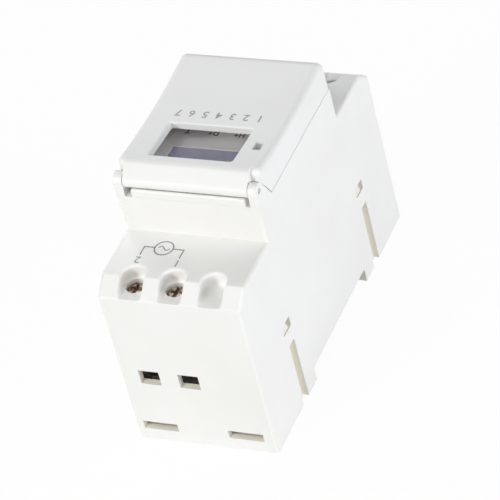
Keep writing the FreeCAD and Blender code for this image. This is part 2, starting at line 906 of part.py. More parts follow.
def front_panel():
    """Panel under the lid, with the display aperture, the key holes, the lamp hole and the reset hole."""
    x = base_half_width - contact_gap
    y = inner_nose - moving_gap
    plate = box((-x, x), (-y, y), (panel_bottom, panel_top))
    rim_foot = panel_bottom - panel_rim_drop
    rim = box((-x, x), (-y, y), (rim_foot, panel_bottom + panel_thickness / 2)).cut(
        box(
            (-x + panel_rim, x - panel_rim),
            (-y + panel_rim, y - panel_rim),
            (rim_foot - overrun, panel_bottom + overrun),
        )
    )
    plate = joined(plate, [rim] + panel_posts())
    above = panel_top + overrun
    below = panel_bottom - overrun
    aperture = box(aperture_x, aperture_y, (below, above))
    sink = box(
        (aperture_x[0] - aperture_chamfer, aperture_x[1] + aperture_chamfer),
        (aperture_y[0] - aperture_chamfer, aperture_y[1] + aperture_chamfer),
        (panel_top - aperture_chamfer, above),
    )
    holes = [rod(key_radius + moving_gap, (x, y, below), (x, y, above)) for x, y in keys.values()]
    holes.append(rod(lamp_radius + moving_gap, (lamp_x, lamp_y, rim_foot - overrun), (lamp_x, lamp_y, above)))
    holes.append(rod(reset_hole_radius, (*reset_place, below), (*reset_place, above)))
    return plate.cut([aperture, sink] + holes)


def key(x, y):
    """Push key: a cap with a soft edge, a flange under the panel and a nub over its switch."""
    flange_top = panel_bottom - contact_gap
    flange_bottom = flange_top - key_flange
    cap = rod(key_radius, (x, y, flange_bottom), (x, y, panel_top + key_proud))
    cap = rounded(cap, key_edge_round, lambda low, high: near(low.z, high.z) and high.z > panel_top)
    flange = rod(key_flange_radius, (x, y, flange_bottom), (x, y, flange_top))
    nub_bottom = display_board_top + switch_height + key_travel + contact_gap
    nub = rod(key_nub_radius, (x, y, nub_bottom), (x, y, flange_bottom + key_flange / 2))
    return joined(cap, [flange, nub])


def tact_switches():
    """Seven small switches on the display board, one under each key, with a dished top."""
    half = switch_size / 2
    top = display_board_top + switch_height
    dish_radius = key_nub_radius + moving_gap
    bodies = []
    for x, y in keys.values():
        body = box((x - half, x + half), (y - half, y + half), (display_board_top, top))
        dish = rod(dish_radius, (x, y, top - switch_dish), (x, y, top + overrun))
        bodies.append(body.cut(dish))
    return Part.makeCompound(bodies)


def display_glass():
    """Display cell: a front sheet in the panel's aperture and a larger rear sheet behind the panel."""
    rear_x, rear_y = display_outline(0)
    rear = box(rear_x, rear_y, (glass_bottom, glass_top))
    front_x = (aperture_x[0] + contact_gap, aperture_x[1] - contact_gap)
    front_y = (aperture_y[0] + contact_gap, aperture_y[1] - contact_gap)
    front = box(front_x, front_y, (glass_top - glass_thickness / 2, panel_top - glass_sink))
    return joined(rear, [front])


def display_outline(grow):
    """Limits in x and in y of the display cell's rear sheet, grown all round."""
    grow_x = glass_margin + grow
    grow_y = glass_margin_y + grow
    return (
        (aperture_x[0] - grow_x, aperture_x[1] + grow_x),
        (aperture_y[0] - grow_y, aperture_y[1] + grow_y),
    )


def display_frame():
    """Frame that stands on the display board and holds the cell."""
    outer = box(*display_outline(display_frame_wall + contact_gap), (display_board_top, glass_top))
    seat = box(*display_outline(contact_gap), (glass_bottom - contact_gap / 2, glass_top + overrun))
    cavity = box(*display_outline(-display_ledge), (display_board_top - overrun, glass_top))
    return outer.cut([seat, cavity])


def display_connectors():
    """Two rubber contact strips between the display cell and the display board."""
    x, y = display_outline(-display_ledge - contact_gap)
    z = (display_board_top, glass_bottom)
    return Part.makeCompound(
        [box(x, (y[0], y[0] + connector_width), z), box(x, (y[1] - connector_width, y[1]), z)]
    )


def display_board():
    y = inner_nose - board_edge_gap
    x = base_half_width - 2 * moving_gap
    return box((-x, x), (-y, y), (display_board_bottom, display_board_top))


def lamp():
    """Small indicator lamp that stands on the display board and looks out of the panel."""
    dome = panel_top + lamp_proud - lamp_radius
    stem = rod(lamp_radius, (lamp_x, lamp_y, display_board_top), (lamp_x, lamp_y, dome))
    return joined(stem, [Part.makeSphere(lamp_radius, Vector(lamp_x, lamp_y, dome))])


def timer_chip():
    """Square chip under the display board with a row of legs on each side."""
    x, y = chip_place
    half = chip_size / 2 - chip_leg_length
    top = display_board_bottom
    body = box((x - half, x + half), (y - half, y + half), (top - chip_height, top - chip_stand_off))
    legs = []
    leg_z = (top - chip_leg_height, top)
    leg_half = chip_leg_width / 2
    pitch = (2 * half - 2 * chip_leg_width) / (chip_legs - 1)
    for index in range(chip_legs):
        place = (index - (chip_legs - 1) / 2) * pitch
        span = (place - leg_half, place + leg_half)
        for side in (1, -1):
            out = (side * half, side * (half + chip_leg_length))
            legs.append(box((x + out[0], x + out[1]), (y + span[0], y + span[1]), leg_z))
            legs.append(box((x + span[0], x + span[1]), (y + out[0], y + out[1]), leg_z))
    return joined(body, legs)


def crystal():
    """Can of the clock crystal, lying against the underside of the display board."""
    x, y = crystal_place
    z = display_board_bottom - crystal_radius
    return rod(crystal_radius, (x, y - crystal_length / 2, z), (x, y + crystal_length / 2, z))


def backup_battery():
    """Button cell under the display board with its two solder straps."""
    x, y = battery_place
    thin = battery_strap_thickness
    top = display_board_bottom
    cell_top = top - thin
    cell_bottom = cell_top - battery_height
    cell = rod(battery_radius, (x, y, cell_bottom), (x, y, cell_top))
    cell = rounded(cell, part_edge_round, lambda low, high: near(low.z, high.z))
    width = (x - battery_strap_width / 2, x + battery_strap_width / 2)
    reach = battery_radius + battery_strap_reach
    upper = box(width, (y - reach - thin, y), (cell_top, top))
    lower = box(width, (y, y + reach + thin), (cell_bottom - thin, cell_bottom))
    riser = box(width, (y + reach, y + reach + thin), (cell_bottom - thin, top))
    return joined(cell, [upper, lower, riser])


def main_board():
    """Power board across the case, with clearance holes for its four screws."""
    plate = box((-board_width / 2, board_width / 2), (-board_reach, board_reach), (board_height, board_top))
    radius = board_screw_radius + loose_gap
    low, high = board_height - overrun, board_top + overrun
    return plate.cut([rod(radius, (x, y, low), (x, y, high)) for x, y in pillars])


def board_screws():
    """Four thread-forming screws that hold the main board on the base's pillars."""
    screws = []
    head_top = board_top + board_screw_head_height
    half = board_screw_slot / 2
    arm = board_screw_radius
    slot_z = (head_top - board_screw_slot_depth, head_top + overrun)
    for x, y in pillars:
        head = rod(board_screw_head, (x, y, board_top), (x, y, head_top))
        cross = [
            box((x - half, x + half), (y - arm, y + arm), slot_z),
            box((x - arm, x + arm), (y - half, y + half), slot_z),
        ]
        shank = rod(board_screw_radius, (x, y, board_height - board_screw_depth), (x, y, board_top))
        screws.append(joined(head, [shank]).cut(cross))
    return Part.makeCompound(screws)


def standing_block(width, y, height):
    """Block with softened upright and top edges that stands on the main board between two values of y."""
    block = box((-width / 2, width / 2), y, (board_top, board_top + height))
    return rounded(block, part_edge_round, lambda low, high: not near(high.z, board_top))


def relay():
    return standing_block(board_width - 2 * relay_side_gap, (relay_far_y, relay_near_y), relay_height)


def line_capacitor():
    half = line_capacitor_depth / 2
    ends = (line_capacitor_y - half, line_capacitor_y + half)
    return standing_block(line_capacitor_width, ends, line_capacitor_height)


def filter_capacitors():
    """Two round capacitors standing between the line capacitor and the supply bars."""
    cans = []
    y = cans_y
    can_top = board_top + filter_can_height
    for side, radius in ((-1, large_can_radius), (1, small_can_radius)):
        x = side * (pillar_x - board_screw_head - can_screw_gap - radius)
        can = rod(radius, (x, y, board_top), (x, y, can_top))
        can = rounded(can, can_edge_round, lambda low, high: near(low.z, can_top))
        low = board_top + can_groove_height
        high = low + can_groove_width
        core = rod(radius - can_groove_depth, (x, y, low - overrun), (x, y, high + overrun))
        groove = rod(radius + overrun, (x, y, low), (x, y, high)).cut(core)
        cans.append(can.cut(groove))
    return Part.makeCompound(cans)


def lying_part(place, radius, length, lead_radius):
    """Round part lying along X above the main board, on a bent lead at each end."""
    x, y = place
    z = board_top + radius
    pieces = []
    for side in (1, -1):
        inside = x + side * (length / 2 - lead_radius)
        bend = x + side * (length / 2 + lead_reach)
        pieces.append(rod(lead_radius, (inside, y, z), (bend + side * lead_radius, y, z)))
        pieces.append(rod(lead_radius, (bend, y, board_top), (bend, y, z + lead_radius)))
    return joined(rod(radius, (x - length / 2, y, z), (x + length / 2, y, z)), pieces)


def rectifier_diodes():
    """Four diodes lying on the main board, two on each side of the varistor."""
    reach = diode_length / 2 + lead_reach + diode_lead_radius
    x = pillar_x - board_screw_head - diode_screw_gap - reach
    places = [(side * x, -far_row_y + row * diode_pitch / 2) for side in (1, -1) for row in (1, -1)]
    return Part.makeCompound(
        [lying_part(place, diode_radius, diode_length, diode_lead_radius) for place in places]
    )


def resistor():
    """Fusible resistor lying under the unused third supply terminal."""
    place = (column_x["left"], board_reach - resistor_radius - resistor_edge_gap)
    return lying_part(place, resistor_radius, resistor_length, resistor_lead_radius)


def varistor():
    """Surge absorber: a disc standing on two legs."""
    z = board_top + varistor_rise + varistor_radius
    low_y = varistor_y - varistor_thickness / 2
    disc = rod(varistor_radius, (0, low_y, z), (0, low_y + varistor_thickness, z))
    disc = rounded(disc, varistor_round, lambda low, high: near(low.y, high.y))
    spread = varistor_leg_spread / 2
    foot = board_top
    legs = [rod(varistor_leg_radius, (x, varistor_y, foot), (x, varistor_y, z)) for x in (spread, -spread)]
    return joined(disc, legs)


def board_link():
    """Flat cable between the main board and the display board."""
    y = relay_near_y + component_gap
    x = (link_x - link_width / 2, link_x + link_width / 2)
    return box(x, (y, y + link_thickness), (board_top, display_board_bottom))


def terminal_bar(x, end):
    """Brass bar from the main board into its clamp cage."""
    across_x = (x - bar_width / 2, x + bar_width / 2)
    tip = terminal_y + cage_length / 2
    tongue = box(across_x, (end * bar_leg_y, end * tip), (bar_bottom, bar_top))
    leg = box(across_x, (end * bar_leg_y, end * (bar_leg_y + bar_thickness)), (board_top, bar_top))
    return joined(tongue, [leg])


def clamp_cage(x, end):
    """Cage that lifts the wire against the bar: a nut plate above, two side walls and a bed below."""
    y = end * terminal_y
    half_x, half_y = cage_width / 2, cage_length / 2
    inner = half_x - cage_wall
    bed = entry_floor
    lift_room = bar_top + clamp_travel + contact_gap
    nut_top = lift_room + cage_nut
    frame = box((x - half_x, x + half_x), (y - half_y, y + half_y), (bed - cage_wall, nut_top))
    inside = box((x - inner, x + inner), (y - half_y - overrun, y + half_y + overrun), (bed, lift_room))
    thread = rod(thread_radius + running_gap, (x, y, bed + overrun), (x, y, nut_top + overrun))
    return frame.cut([inside, thread])


def terminal_screw(x, end):
    """Captive screw with a slotted cross head, held between its seat and the bar."""
    y = end * terminal_y
    head = rod(screw_head_radius, (x, y, head_bottom), (x, y, head_top))
    head = rounded(head, screw_head_round, lambda low, high: near(low.z, high.z) and near(high.z, head_top))
    shank = rod(thread_radius, (x, y, bar_top + contact_gap), (x, y, head_bottom))
    half = head_slot_width / 2
    slot_z = (head_top - head_slot_depth, head_top + overrun)
    reach = screw_head_radius + overrun
    slot = box((x - half, x + half), (y - reach, y + reach), slot_z)
    cross = box((x - head_cross_reach, x + head_cross_reach), (y - half, y + half), slot_z)
    return joined(head, [shank]).cut([slot, cross])


def write(node, shape):
    """Write one node's STEP file and print what it holds."""
    solids = shape.Solids
    volume = sum(solid.Volume for solid in solids)
    print(f"{node}: {len(solids)} solids, {volume:.1f} mm3, valid {shape.isValid()}")
    shape.exportStep(f"parts/{node}.step")


def main():
    os.makedirs("parts", exist_ok=True)
    write("housing", housing())
    write("base", base())
    write("lid", lid())
    write("front_panel", front_panel())
    write("display_glass", display_glass())
    write("display_frame", display_frame())
    write("display_connectors", display_connectors())
    write("display_board", display_board())
    write("indicator_lamp", lamp())
    write("tact_switches", tact_switches())
    write("timer_chip", timer_chip())
    write("crystal", crystal())
    write("backup_battery", backup_battery())
    write("board_link", board_link())
    write("main_board", main_board())
    write("board_screws", board_screws())
    write("relay", relay())
    write("line_capacitor", line_capacitor())
    write("filter_capacitors", filter_capacitors())
    write("rectifier_diodes", rectifier_diodes())
    write("resistor", resistor())
    write("varistor", varistor())
    write("din_clip", din_clip())
    write("clip_spring", clip_spring())
    for name, (x, y) in keys.items():
        write(f"key_{name}", key(x, y))
    for index, (x, end) in enumerate(terminals):
        write(f"terminal_bar_{index + 1}", terminal_bar(x, end))
        write(f"clamp_cage_{index + 1}", clamp_cage(x, end))
        write(f"terminal_screw_{index + 1}", terminal_screw(x, end))


main()
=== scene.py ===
import math

import bmesh
import bpy
from bpy.props import FloatProperty, FloatVectorProperty, IntProperty, PointerProperty
from mathutils import Matrix, Vector, noise
from mathutils.bvhtree import BVHTree


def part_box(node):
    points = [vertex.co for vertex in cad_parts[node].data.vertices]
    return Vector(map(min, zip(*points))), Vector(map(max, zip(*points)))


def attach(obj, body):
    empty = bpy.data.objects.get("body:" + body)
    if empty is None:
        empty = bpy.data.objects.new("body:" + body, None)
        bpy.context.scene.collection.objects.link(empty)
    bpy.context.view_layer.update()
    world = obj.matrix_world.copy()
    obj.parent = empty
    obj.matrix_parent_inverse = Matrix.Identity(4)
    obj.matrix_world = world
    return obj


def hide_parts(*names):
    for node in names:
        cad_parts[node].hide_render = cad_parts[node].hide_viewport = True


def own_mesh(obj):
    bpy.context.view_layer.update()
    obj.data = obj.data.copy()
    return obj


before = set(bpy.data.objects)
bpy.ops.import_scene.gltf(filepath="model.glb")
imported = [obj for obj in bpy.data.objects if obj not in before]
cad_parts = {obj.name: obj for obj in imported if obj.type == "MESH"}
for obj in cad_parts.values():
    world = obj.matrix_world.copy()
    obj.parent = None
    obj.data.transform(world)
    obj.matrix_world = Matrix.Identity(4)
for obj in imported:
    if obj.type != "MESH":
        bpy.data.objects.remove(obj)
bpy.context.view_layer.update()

bl_info = {
    "name": "Digital timer switch",
    "version": (1, 0, 0),
    "blender": (4, 5, 0),
    "location": "View3D > Sidebar > Timer switch",
    "description": "Dresses a two-module timer switch for a mounting rail",
    "category": "Object",
}

MM = 0.001


def tint(red, green, blue):
    """Linear colour of a screen colour whose channels run from 0 to 255."""
    steps = [channel / 255 for channel in (red, green, blue)]
    return tuple(step / 12.92 if step <= 0.04045 else ((step + 0.055) / 1.055) ** 2.4 for step in steps)


def centre_of(node):
    low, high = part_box(node)
    return (Vector(low) + Vector(high)) / 2


def colour_setting(name, description, red, green, blue):
    return FloatVectorProperty(
        name=name, description=description, default=tint(red, green, blue), subtype="COLOR", min=0, max=1
    )


def length_setting(name, description, millimetres):
    default = millimetres * MM
    return FloatProperty(name=name, description=description, default=default, unit="LENGTH", precision=5)


def power_setting(name, description, watts):
    return FloatProperty(name=name, description=description, default=watts, unit="POWER")


def vector_setting(name, description, subtype, default, unit="NONE"):
    return FloatVectorProperty(
        name=name, description=description, default=default, subtype=subtype, unit=unit, precision=6
    )


def count_setting(name, description, default, low, high):
    return IntProperty(name=name, description=description, default=default, min=low, max=high)


class Signal:
    """A socket of a node tree on which sums and products add their Math nodes."""

    def __init__(self, tree, socket):
        self.tree = tree
        self.socket = socket

    def maths(self, operation, *values):
        return self.tree.node("ShaderNodeMath", {"operation": operation}, dict(enumerate(values)))

    def __add__(self, other):
        return self.maths("ADD", self, other)

    __radd__ = __add__

    def __mul__(self, other):
        return self.maths("MULTIPLY", self, other)

    def __sub__(self, other):
        return self.maths("SUBTRACT", self, other)

    def __rsub__(self, other):
        return self.maths("SUBTRACT", other, self)

    def __truediv__(self, other):
        return self.maths("DIVIDE", self, other)

    def __abs__(self):
        return self.maths("ABSOLUTE", self)

    def over(self, limit):
        """1 where the value is over the limit, 0 elsewhere."""
        return self.maths("GREATER_THAN", self, limit)

    def under(self, limit):
        """1 where the value is under the limit, 0 elsewhere."""
        return self.maths("LESS_THAN", self, limit)

    def larger(self, other):
        return self.maths("MAXIMUM", self, other)

    def fraction(self):
        return self.maths("FRACT", self)

    def ramped(self, low, high):
        """The value led softly from 0 at a low limit to 1 at a high one."""
        settings = {"interpolation_type": "SMOOTHSTEP"}
        limits = {"Value": self, "From Min": low, "From Max": high}
        return self.tree.node("ShaderNodeMapRange", settings, limits)


class Tree:
    """A node tree that is written as calls and expressions."""

    def __init__(self, tree):
        self.tree = tree

    def node(self, kind, settings=None, inputs=None, output=0):
        """Adds a node: first its settings, then the values or links of its sockets."""
        made = self.tree.nodes.new(kind)
        for name, value in (settings or {}).items():
            setattr(made, name, value)
        for key, value in (inputs or {}).items():
            socket = made.inputs[key]
            if isinstance(value, Signal):
                self.tree.links.new(value.socket, socket)
            elif socket.type == "RGBA":
                socket.default_value = (*value, 1)
            else:
                socket.default_value = value
        return Signal(self, made.outputs[output]) if len(made.outputs) else made


class Finish(Tree):
    """A material for one of the switch's surfaces."""

    skin = 0.05 * MM
    inner_depth = 1.4 * MM

    def __init__(self, name):
        self.material = bpy.data.materials.new(name)
        self.material.use_nodes = True
        super().__init__(self.material.node_tree)
        self.tree.nodes.clear()
        self.place = self.node("ShaderNodeTexCoord", output="Object")
        self.facing = self.node("ShaderNodeTexCoord", output="Normal")

    def axis(self, letter, source=None):
        """One coordinate of the object's own place, or of another vector."""
        return self.node("ShaderNodeSeparateXYZ", {}, {0: source or self.place}, "XYZ".index(letter))

    def stretched(self, scale):
        return self.node("ShaderNodeMapping", {}, {"Vector": self.place, "Scale": scale})

    def grain(self, size, detail=2.0, vector=None):
        """Noise whose features are about as large as a size in metres."""
        inputs = {"Vector": vector or self.place, "Scale": 1 / size, "Detail": detail}
        return self.node("ShaderNodeTexNoise", {}, inputs)

    def spots(self, size):
        """Distance to the nearest of many scattered points, as a share of their spacing."""
        return self.node("ShaderNodeTexVoronoi", {}, {"Vector": self.place, "Scale": 1 / size})

    def mixed(self, mask, first, second):
        """Colour between a first, where the mask is 0, and a second, where it is 1."""
        settings = {"data_type": "RGBA", "clamp_factor": True}
        factor, first_colour, second_colour, result = 0, 6, 7, 2
        inputs = {factor: mask, first_colour: first, second_colour: second}
        return self.node("ShaderNodeMix", settings, inputs, result)

    def depth_inside(self, hull):
        """0 on the outer faces of a hull and over it, 1 well behind its side and end faces."""
        half_width, half_length, top = hull
        side = 1 - abs(self.axis("X")).ramped(half_width - self.inner_depth, half_width - self.skin)
        end = 1 - abs(self.axis("Y")).ramped(half_length - self.inner_depth, half_length - self.skin)
        return side * end * self.axis("Z").under(top)

    def bump(self, height, depth):
        return self.node("ShaderNodeBump", {}, {"Height": height, "Distance": depth, "Strength": 1.0})

    def surface(self, colour, roughness, normal=None, **constants):
        """Ends the material in one shader. Constants go to the shader's own sockets."""
        inputs = {"Base Color": colour, "Roughness": roughness}
        if normal is not None:
            inputs["Normal"] = normal
        inputs.update({name.replace("_", " "): value for name, value in constants.items()})
        shader = self.node("ShaderNodeBsdfPrincipled", {}, inputs)
        self.node("ShaderNodeOutputMaterial", {}, {"Surface": shader})
        return self.material


def moulded_plastic(name, colour, shade, roughness, grain_depth=4e-6, dust=0.0, inner=None, hull=None):
    """Moulded plastic: spark-eroded grain, faint flow clouds, slow ripples and a few specks of dust.

    With a hull, which holds the outer faces, the walls inside it take the inner colour as they go deeper:
    painted light, a brighter and warmer tone that stands for light scattered through the plastic into the
    hollows.
    """
    finish = Finish(name)
    clouds = finish.grain(22 * MM, 3.0)
    grain = finish.grain(0.35 * MM, 2.0)
    ripple = finish.grain(6 * MM, 1.0)
    specks = finish.spots(2.6 * MM).under(0.05) * finish.grain(9 * MM).over(0.5)
    mask = clouds.ramped(0.3, 0.75) * 0.7 + grain * 0.3 + specks * dust
    rough = roughness + (grain - 0.5) * 0.12 + (clouds - 0.5) * 0.08
    height = grain + ripple * 2.5 + specks * 1.5
    tone = finish.mixed(mask, colour, shade)
    if hull is not None:
        # Painted light: the inner walls turn brighter and warmer with depth, for light scattered through the
        # plastic.
        tone = finish.mixed(finish.depth_inside(hull), tone, inner)
    return finish.surface(tone, rough, finish.bump(height, grain_depth))


def printed_ink(name, colour, ground):
    """Pad-printed ink: thin, matt and slightly broken up where it didn't wet the plastic."""
    finish = Finish(name)
    coverage = finish.grain(0.22 * MM, 3.0).ramped(0.6, 0.85) * 0.45
    density = finish.grain(1.5 * MM).ramped(0.3, 0.8) * 0.15
    rough = 0.55 + finish.grain(0.3 * MM) * 0.15
    return finish.surface(finish.mixed(coverage + density, colour, ground), rough)


def plated_metal(name, colour, stain, roughness, brushed=(1, 1, 1), stain_share=0.5):
    """Plated or bare metal with drawn lines along one way, dull patches and fine pits."""
    finish = Finish(name)
    lines = finish.grain(0.5 * MM, 4.0, finish.stretched(brushed))
    patches = finish.grain(1.3 * MM, 4.0)
    pits = finish.spots(0.45 * MM).under(0.12)
    mask = patches.ramped(0.62 - stain_share * 0.4, 0.8 - stain_share * 0.2).larger(pits * 0.6)
    rough = roughness + lines * 0.18 + patches.ramped(0.4, 0.7) * 0.22
    normal = finish.bump(lines + patches * 1.2 - pits, 1.2e-5)
    return finish.surface(finish.mixed(mask, colour, stain), rough, normal, Metallic=1.0)


def display_film(name, colour, shade):
    """Polarising film over the liquid crystal: pale lilac, glossy, with a fine conductor ruling."""
    finish = Finish(name)
    ruling = (finish.axis("Y") / (0.36 * MM)).fraction().under(0.16)
    clouds = finish.grain(7 * MM, 2.0)
    scuffs = finish.grain(1.1 * MM, 4.0, finish.stretched((1, 6, 1)))
    mask = clouds.ramped(0.3, 0.75) * 0.6 + ruling * 0.12
    rough = 0.16 + scuffs.ramped(0.5, 0.8) * 0.12
    normal = finish.bump(finish.grain(5 * MM), 3e-6)
    tone = finish.mixed(mask, colour, shade)
    return finish.surface(tone, rough, normal, Coat_Weight=0.5, Coat_Roughness=0.06)


def circuit_board(name, mask_colour, track_colour, edge_colour, pad_colour):
    """Laminate under solder mask: copper tracks on a grid, tinned pads and a bare glass-fibre edge."""
    finish = Finish(name)
    grid = 2.54 * MM
    across = finish.axis("X") / grid
    along = finish.axis("Y") / grid
    chooser = finish.grain(6 * MM, 0.0).over(0.5)
    upright = abs(across.fraction() - 0.5).under(0.13)
    level = abs(along.fraction() - 0.5).under(0.13)
    tracks = upright * chooser + level * (1 - chooser)
    off_centre = abs(across.fraction() - 0.5).larger(abs(along.fraction() - 0.5))
    pads = off_centre.under(0.24) * finish.grain(3.2 * MM, 0.0).over(0.6)
    edge = abs(finish.axis("Z", finish.facing)).under(0.5)
    weave = finish.grain(0.3 * MM, 2.0, finish.stretched((1, 6, 1)))
    colour = finish.mixed(tracks * 0.8, mask_colour, track_colour)
    colour = finish.mixed(weave * 0.25, colour, edge_colour)
    colour = finish.mixed(pads, colour, pad_colour)
    colour = finish.mixed(edge, colour, edge_colour)
    rough = 0.32 + weave * 0.12 + edge * 0.4 - pads * 0.1
    height = tracks + pads + weave * 0.2
    return finish.surface(colour, rough, finish.bump(height, 2e-5), Metallic=pads * (1 - edge))


def capacitor_sleeve(name, node, sleeve, stripe, can):
    """Shrink sleeve with a pale stripe down one side and a bare rolled top."""
    finish = Finish(name)
    rolled_edge = 0.35 * MM
    score_x, score_width = 5.6 * MM, 0.3 * MM
    bare = finish.axis("Z").over(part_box(node)[1][2] - rolled_edge)
    striped = finish.axis("Y", finish.facing).over(0.72)
    wrinkles = finish.grain(1.6 * MM, 3.0, finish.stretched((1, 1, 4)))
    scored = abs(abs(finish.axis("X")) - score_x).under(score_width / 2) * bare
    colour = finish.mixed(striped, finish.mixed(wrinkles * 0.4, sleeve, can), stripe)
    colour = finish.mixed(bare, colour, can)
    rough = 0.34 + wrinkles * 0.15 - bare * 0.08
    normal = finish.bump(wrinkles * 0.5 - scored, 3e-5)
    return finish.surface(colour, rough, normal, Metallic=bare)


def banded_body(name, node, body, band, bands, width):
    """Round part along X with painted bands at places along it, and tinned leads beyond its ends."""
    finish = Finish(name)
    lead, lead_length = (0.6, 0.58, 0.55), 0.8 * MM
    shaded = tuple(channel * 0.6 for channel in body)
    low, high = (corner[0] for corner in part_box(node))
    along = finish.axis("X") - (low + high) / 2
    mottled = finish.grain(0.8 * MM, 3.0)
    ringed, *others = (abs(along - place).under(width / 2) for place in bands)
    for other in others:
        ringed = ringed.larger(other)
    colour = finish.mixed(mottled * 0.35, body, shaded)
    colour = finish.mixed(ringed, colour, band)
    bare = abs(along).over((high - low) / 2 - lead_length)
    colour = finish.mixed(bare, colour, lead)
    rough = 0.42 + mottled * 0.2 - bare * 0.12
    return finish.surface(colour, rough, finish.bump(mottled, 1.5e-5), Metallic=bare)


def chip_resin(middle):
    """Chip with a dark moulded body, tinned legs and a small dimple in one corner."""
    finish = Finish("chip_resin")
    body_reach, corner, dimple_reach = 4.02 * MM, 3 * MM, 0.4 * MM

    def away_from(x, y):
        return abs(finish.axis("X") - x).larger(abs(finish.axis("Y") - y))

    legs = away_from(middle.x, middle.y).over(body_reach)
    grain = finish.grain(0.25 * MM, 3.0)
    dimple = away_from(middle.x - corner, middle.y + corner).under(dimple_reach)
    colour = finish.mixed(grain * 0.5, tint(34, 34, 36), tint(52, 52, 54))
    colour = finish.mixed(legs, colour, tint(196, 196, 192))
    rough = 0.6 - legs * 0.3 + grain * 0.1
    return finish.surface(colour, rough, finish.bump(grain - dimple * 4, 1e-5), Metallic=legs)


def dress(node, finish):
    """Gives a CAD node's mesh its material."""
    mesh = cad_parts[node].data
    mesh.materials.clear()
    mesh.materials.append(finish)


def add_piece(name, mesh, finish, body="root"):
    """Adds a mesh that is already in place, and lets it ride on a CAD body."""
    mesh.name = name
    mesh.materials.clear()
    mesh.materials.append(finish)
    piece = bpy.data.objects.new(name, mesh)
    bpy.context.scene.collection.objects.link(piece)
    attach(piece, body)
    return piece


def mesh_from(shape, smooth_under=None):
    """Ends a bmesh as a mesh whose faces point outwards, smooth where they meet under an angle."""
    bmesh.ops.remove_doubles(shape, verts=shape.verts, dist=1e-7)
    bmesh.ops.recalc_face_normals(shape, faces=shape.faces)
    mesh = bpy.data.meshes.new("shape")
    if smooth_under is not None:
        for face in shape.faces:
            face.smooth = True
        for edge in shape.edges:
            edge.smooth = edge.calc_face_angle(0) < math.radians(smooth_under)
    shape.to_mesh(mesh)
    shape.free()
    return mesh


def merged(meshes):
    """One mesh that holds several."""
    shape = bmesh.new()
    for mesh in meshes:
        shape.from_mesh(mesh)
        bpy.data.meshes.remove(mesh)
    mesh = bpy.data.meshes.new("shape")
    shape.to_mesh(mesh)
    shape.free()
    return mesh


def evaluated_mesh(source):
    """Plain mesh of an object as its modifiers leave it. The object is removed."""
    bpy.context.scene.collection.objects.link(source)
    depsgraph = bpy.context.evaluated_depsgraph_get()
    mesh = bpy.data.meshes.new_from_object(source.evaluated_get(depsgraph))
    bpy.data.objects.remove(source)
    return mesh


def stroke(points, width, depth, closed=False):
    """Flat drawn line of a width through points, as a thin solid down to a depth under Z 0."""
    shape = bmesh.new()
    sharpest = 0.35
    count = len(points)
    rows = []
    for index, point in enumerate(points):
        before = points[(index - 1) % count] if closed or index else point
        after = points[(index + 1) % count] if closed or index < count - 1 else point
        way_in = (Vector(point) - Vector(before)).normalized()
        way_out = (Vector(after) - Vector(point)).normalized()
        way = (way_in + way_out).normalized()
        square = Vector((-way.y, way.x))
        reach = width / 2 / max(sharpest, way.dot(way_in), way.dot(way_out))
        corners = [Vector(point) + square * reach * side for side in (1, -1)]
        rows.append([shape.verts.new((*corner, z)) for z in (0, -depth) for corner in corners])
    spans = count if closed else count - 1
    for index in range(spans):
        near, far = rows[index], rows[(index + 1) % count]
        for first, second in ((0, 1), (1, 3), (3, 2), (2, 0)):
            shape.faces.new((near[first], near[second], far[second], far[first]))
    if not closed:
        for row in (rows[0], rows[-1]):
            shape.faces.new((row[0], row[1], row[3], row[2]))
    return mesh_from(shape)


def rounded_outline(x, y, width, height, radius, steps=6):
    """Points of a rectangle with round corners about a centre."""
    points = []
    for quarter, (side_x, side_y) in enumerate(((1, 1), (-1, 1), (-1, -1), (1, -1))):
        corner = (x + side_x * (width / 2 - radius), y + side_y * (height / 2 - radius))
        for step in range(steps + 1):
            turn = math.pi / 2 * (quarter + step / steps)
            points.append((corner[0] + radius * math.cos(turn), corner[1] + radius * math.sin(turn)))
    return points


def slab(outline, low, high):
    """Flat solid with an outline, from a low to a high Z."""
    shape = bmesh.new()
    lower = [shape.verts.new((x, y, low)) for x, y in outline]
    upper = [shape.verts.new((x, y, high)) for x, y in outline]
    shape.faces.new(lower)
    shape.faces.new(upper)
    for index in range(len(outline)):
        after = (index + 1) % len(outline)
        shape.faces.new((lower[index], lower[after], upper[after], upper[index]))
    return mesh_from(shape)


def lettering(words, height, centre, depth, weight=0.0):
    """Printed characters as a thin solid of a height about a centre. The weight thickens their strokes."""
    curve = bpy.data.curves.new("lettering", "FONT")
    curve.body = words
    curve.extrude = 0.5
    curve.offset = weight
    curve.resolution_u = 4
    source = bpy.data.objects.new("lettering", curve)
    mesh = evaluated_mesh(source)
    bpy.data.curves.remove(curve)
    low = [min(vertex.co[axis] for vertex in mesh.vertices) for axis in range(3)]
    high = [max(vertex.co[axis] for vertex in mesh.vertices) for axis in range(3)]
    scale = height / (high[1] - low[1])
    middle = Vector(((low[0] + high[0]) / 2, (low[1] + high[1]) / 2, high[2]))
    resize = Matrix.Diagonal((scale, scale, depth / (high[2] - low[2]), 1))
    mesh.transform(Matrix.Translation((*centre, 0)) @ resize @ Matrix.Translation(-middle))
    shape = bmesh.new()
    shape.from_mesh(mesh)
    bpy.data.meshes.remove(mesh)
    return mesh_from(shape)


def ring_points(centre, radius, count=40):
    steps = [2 * math.pi * step / count for step in range(count)]
    return [(centre[0] + radius * math.cos(turn), centre[1] + radius * math.sin(turn)) for turn in steps]


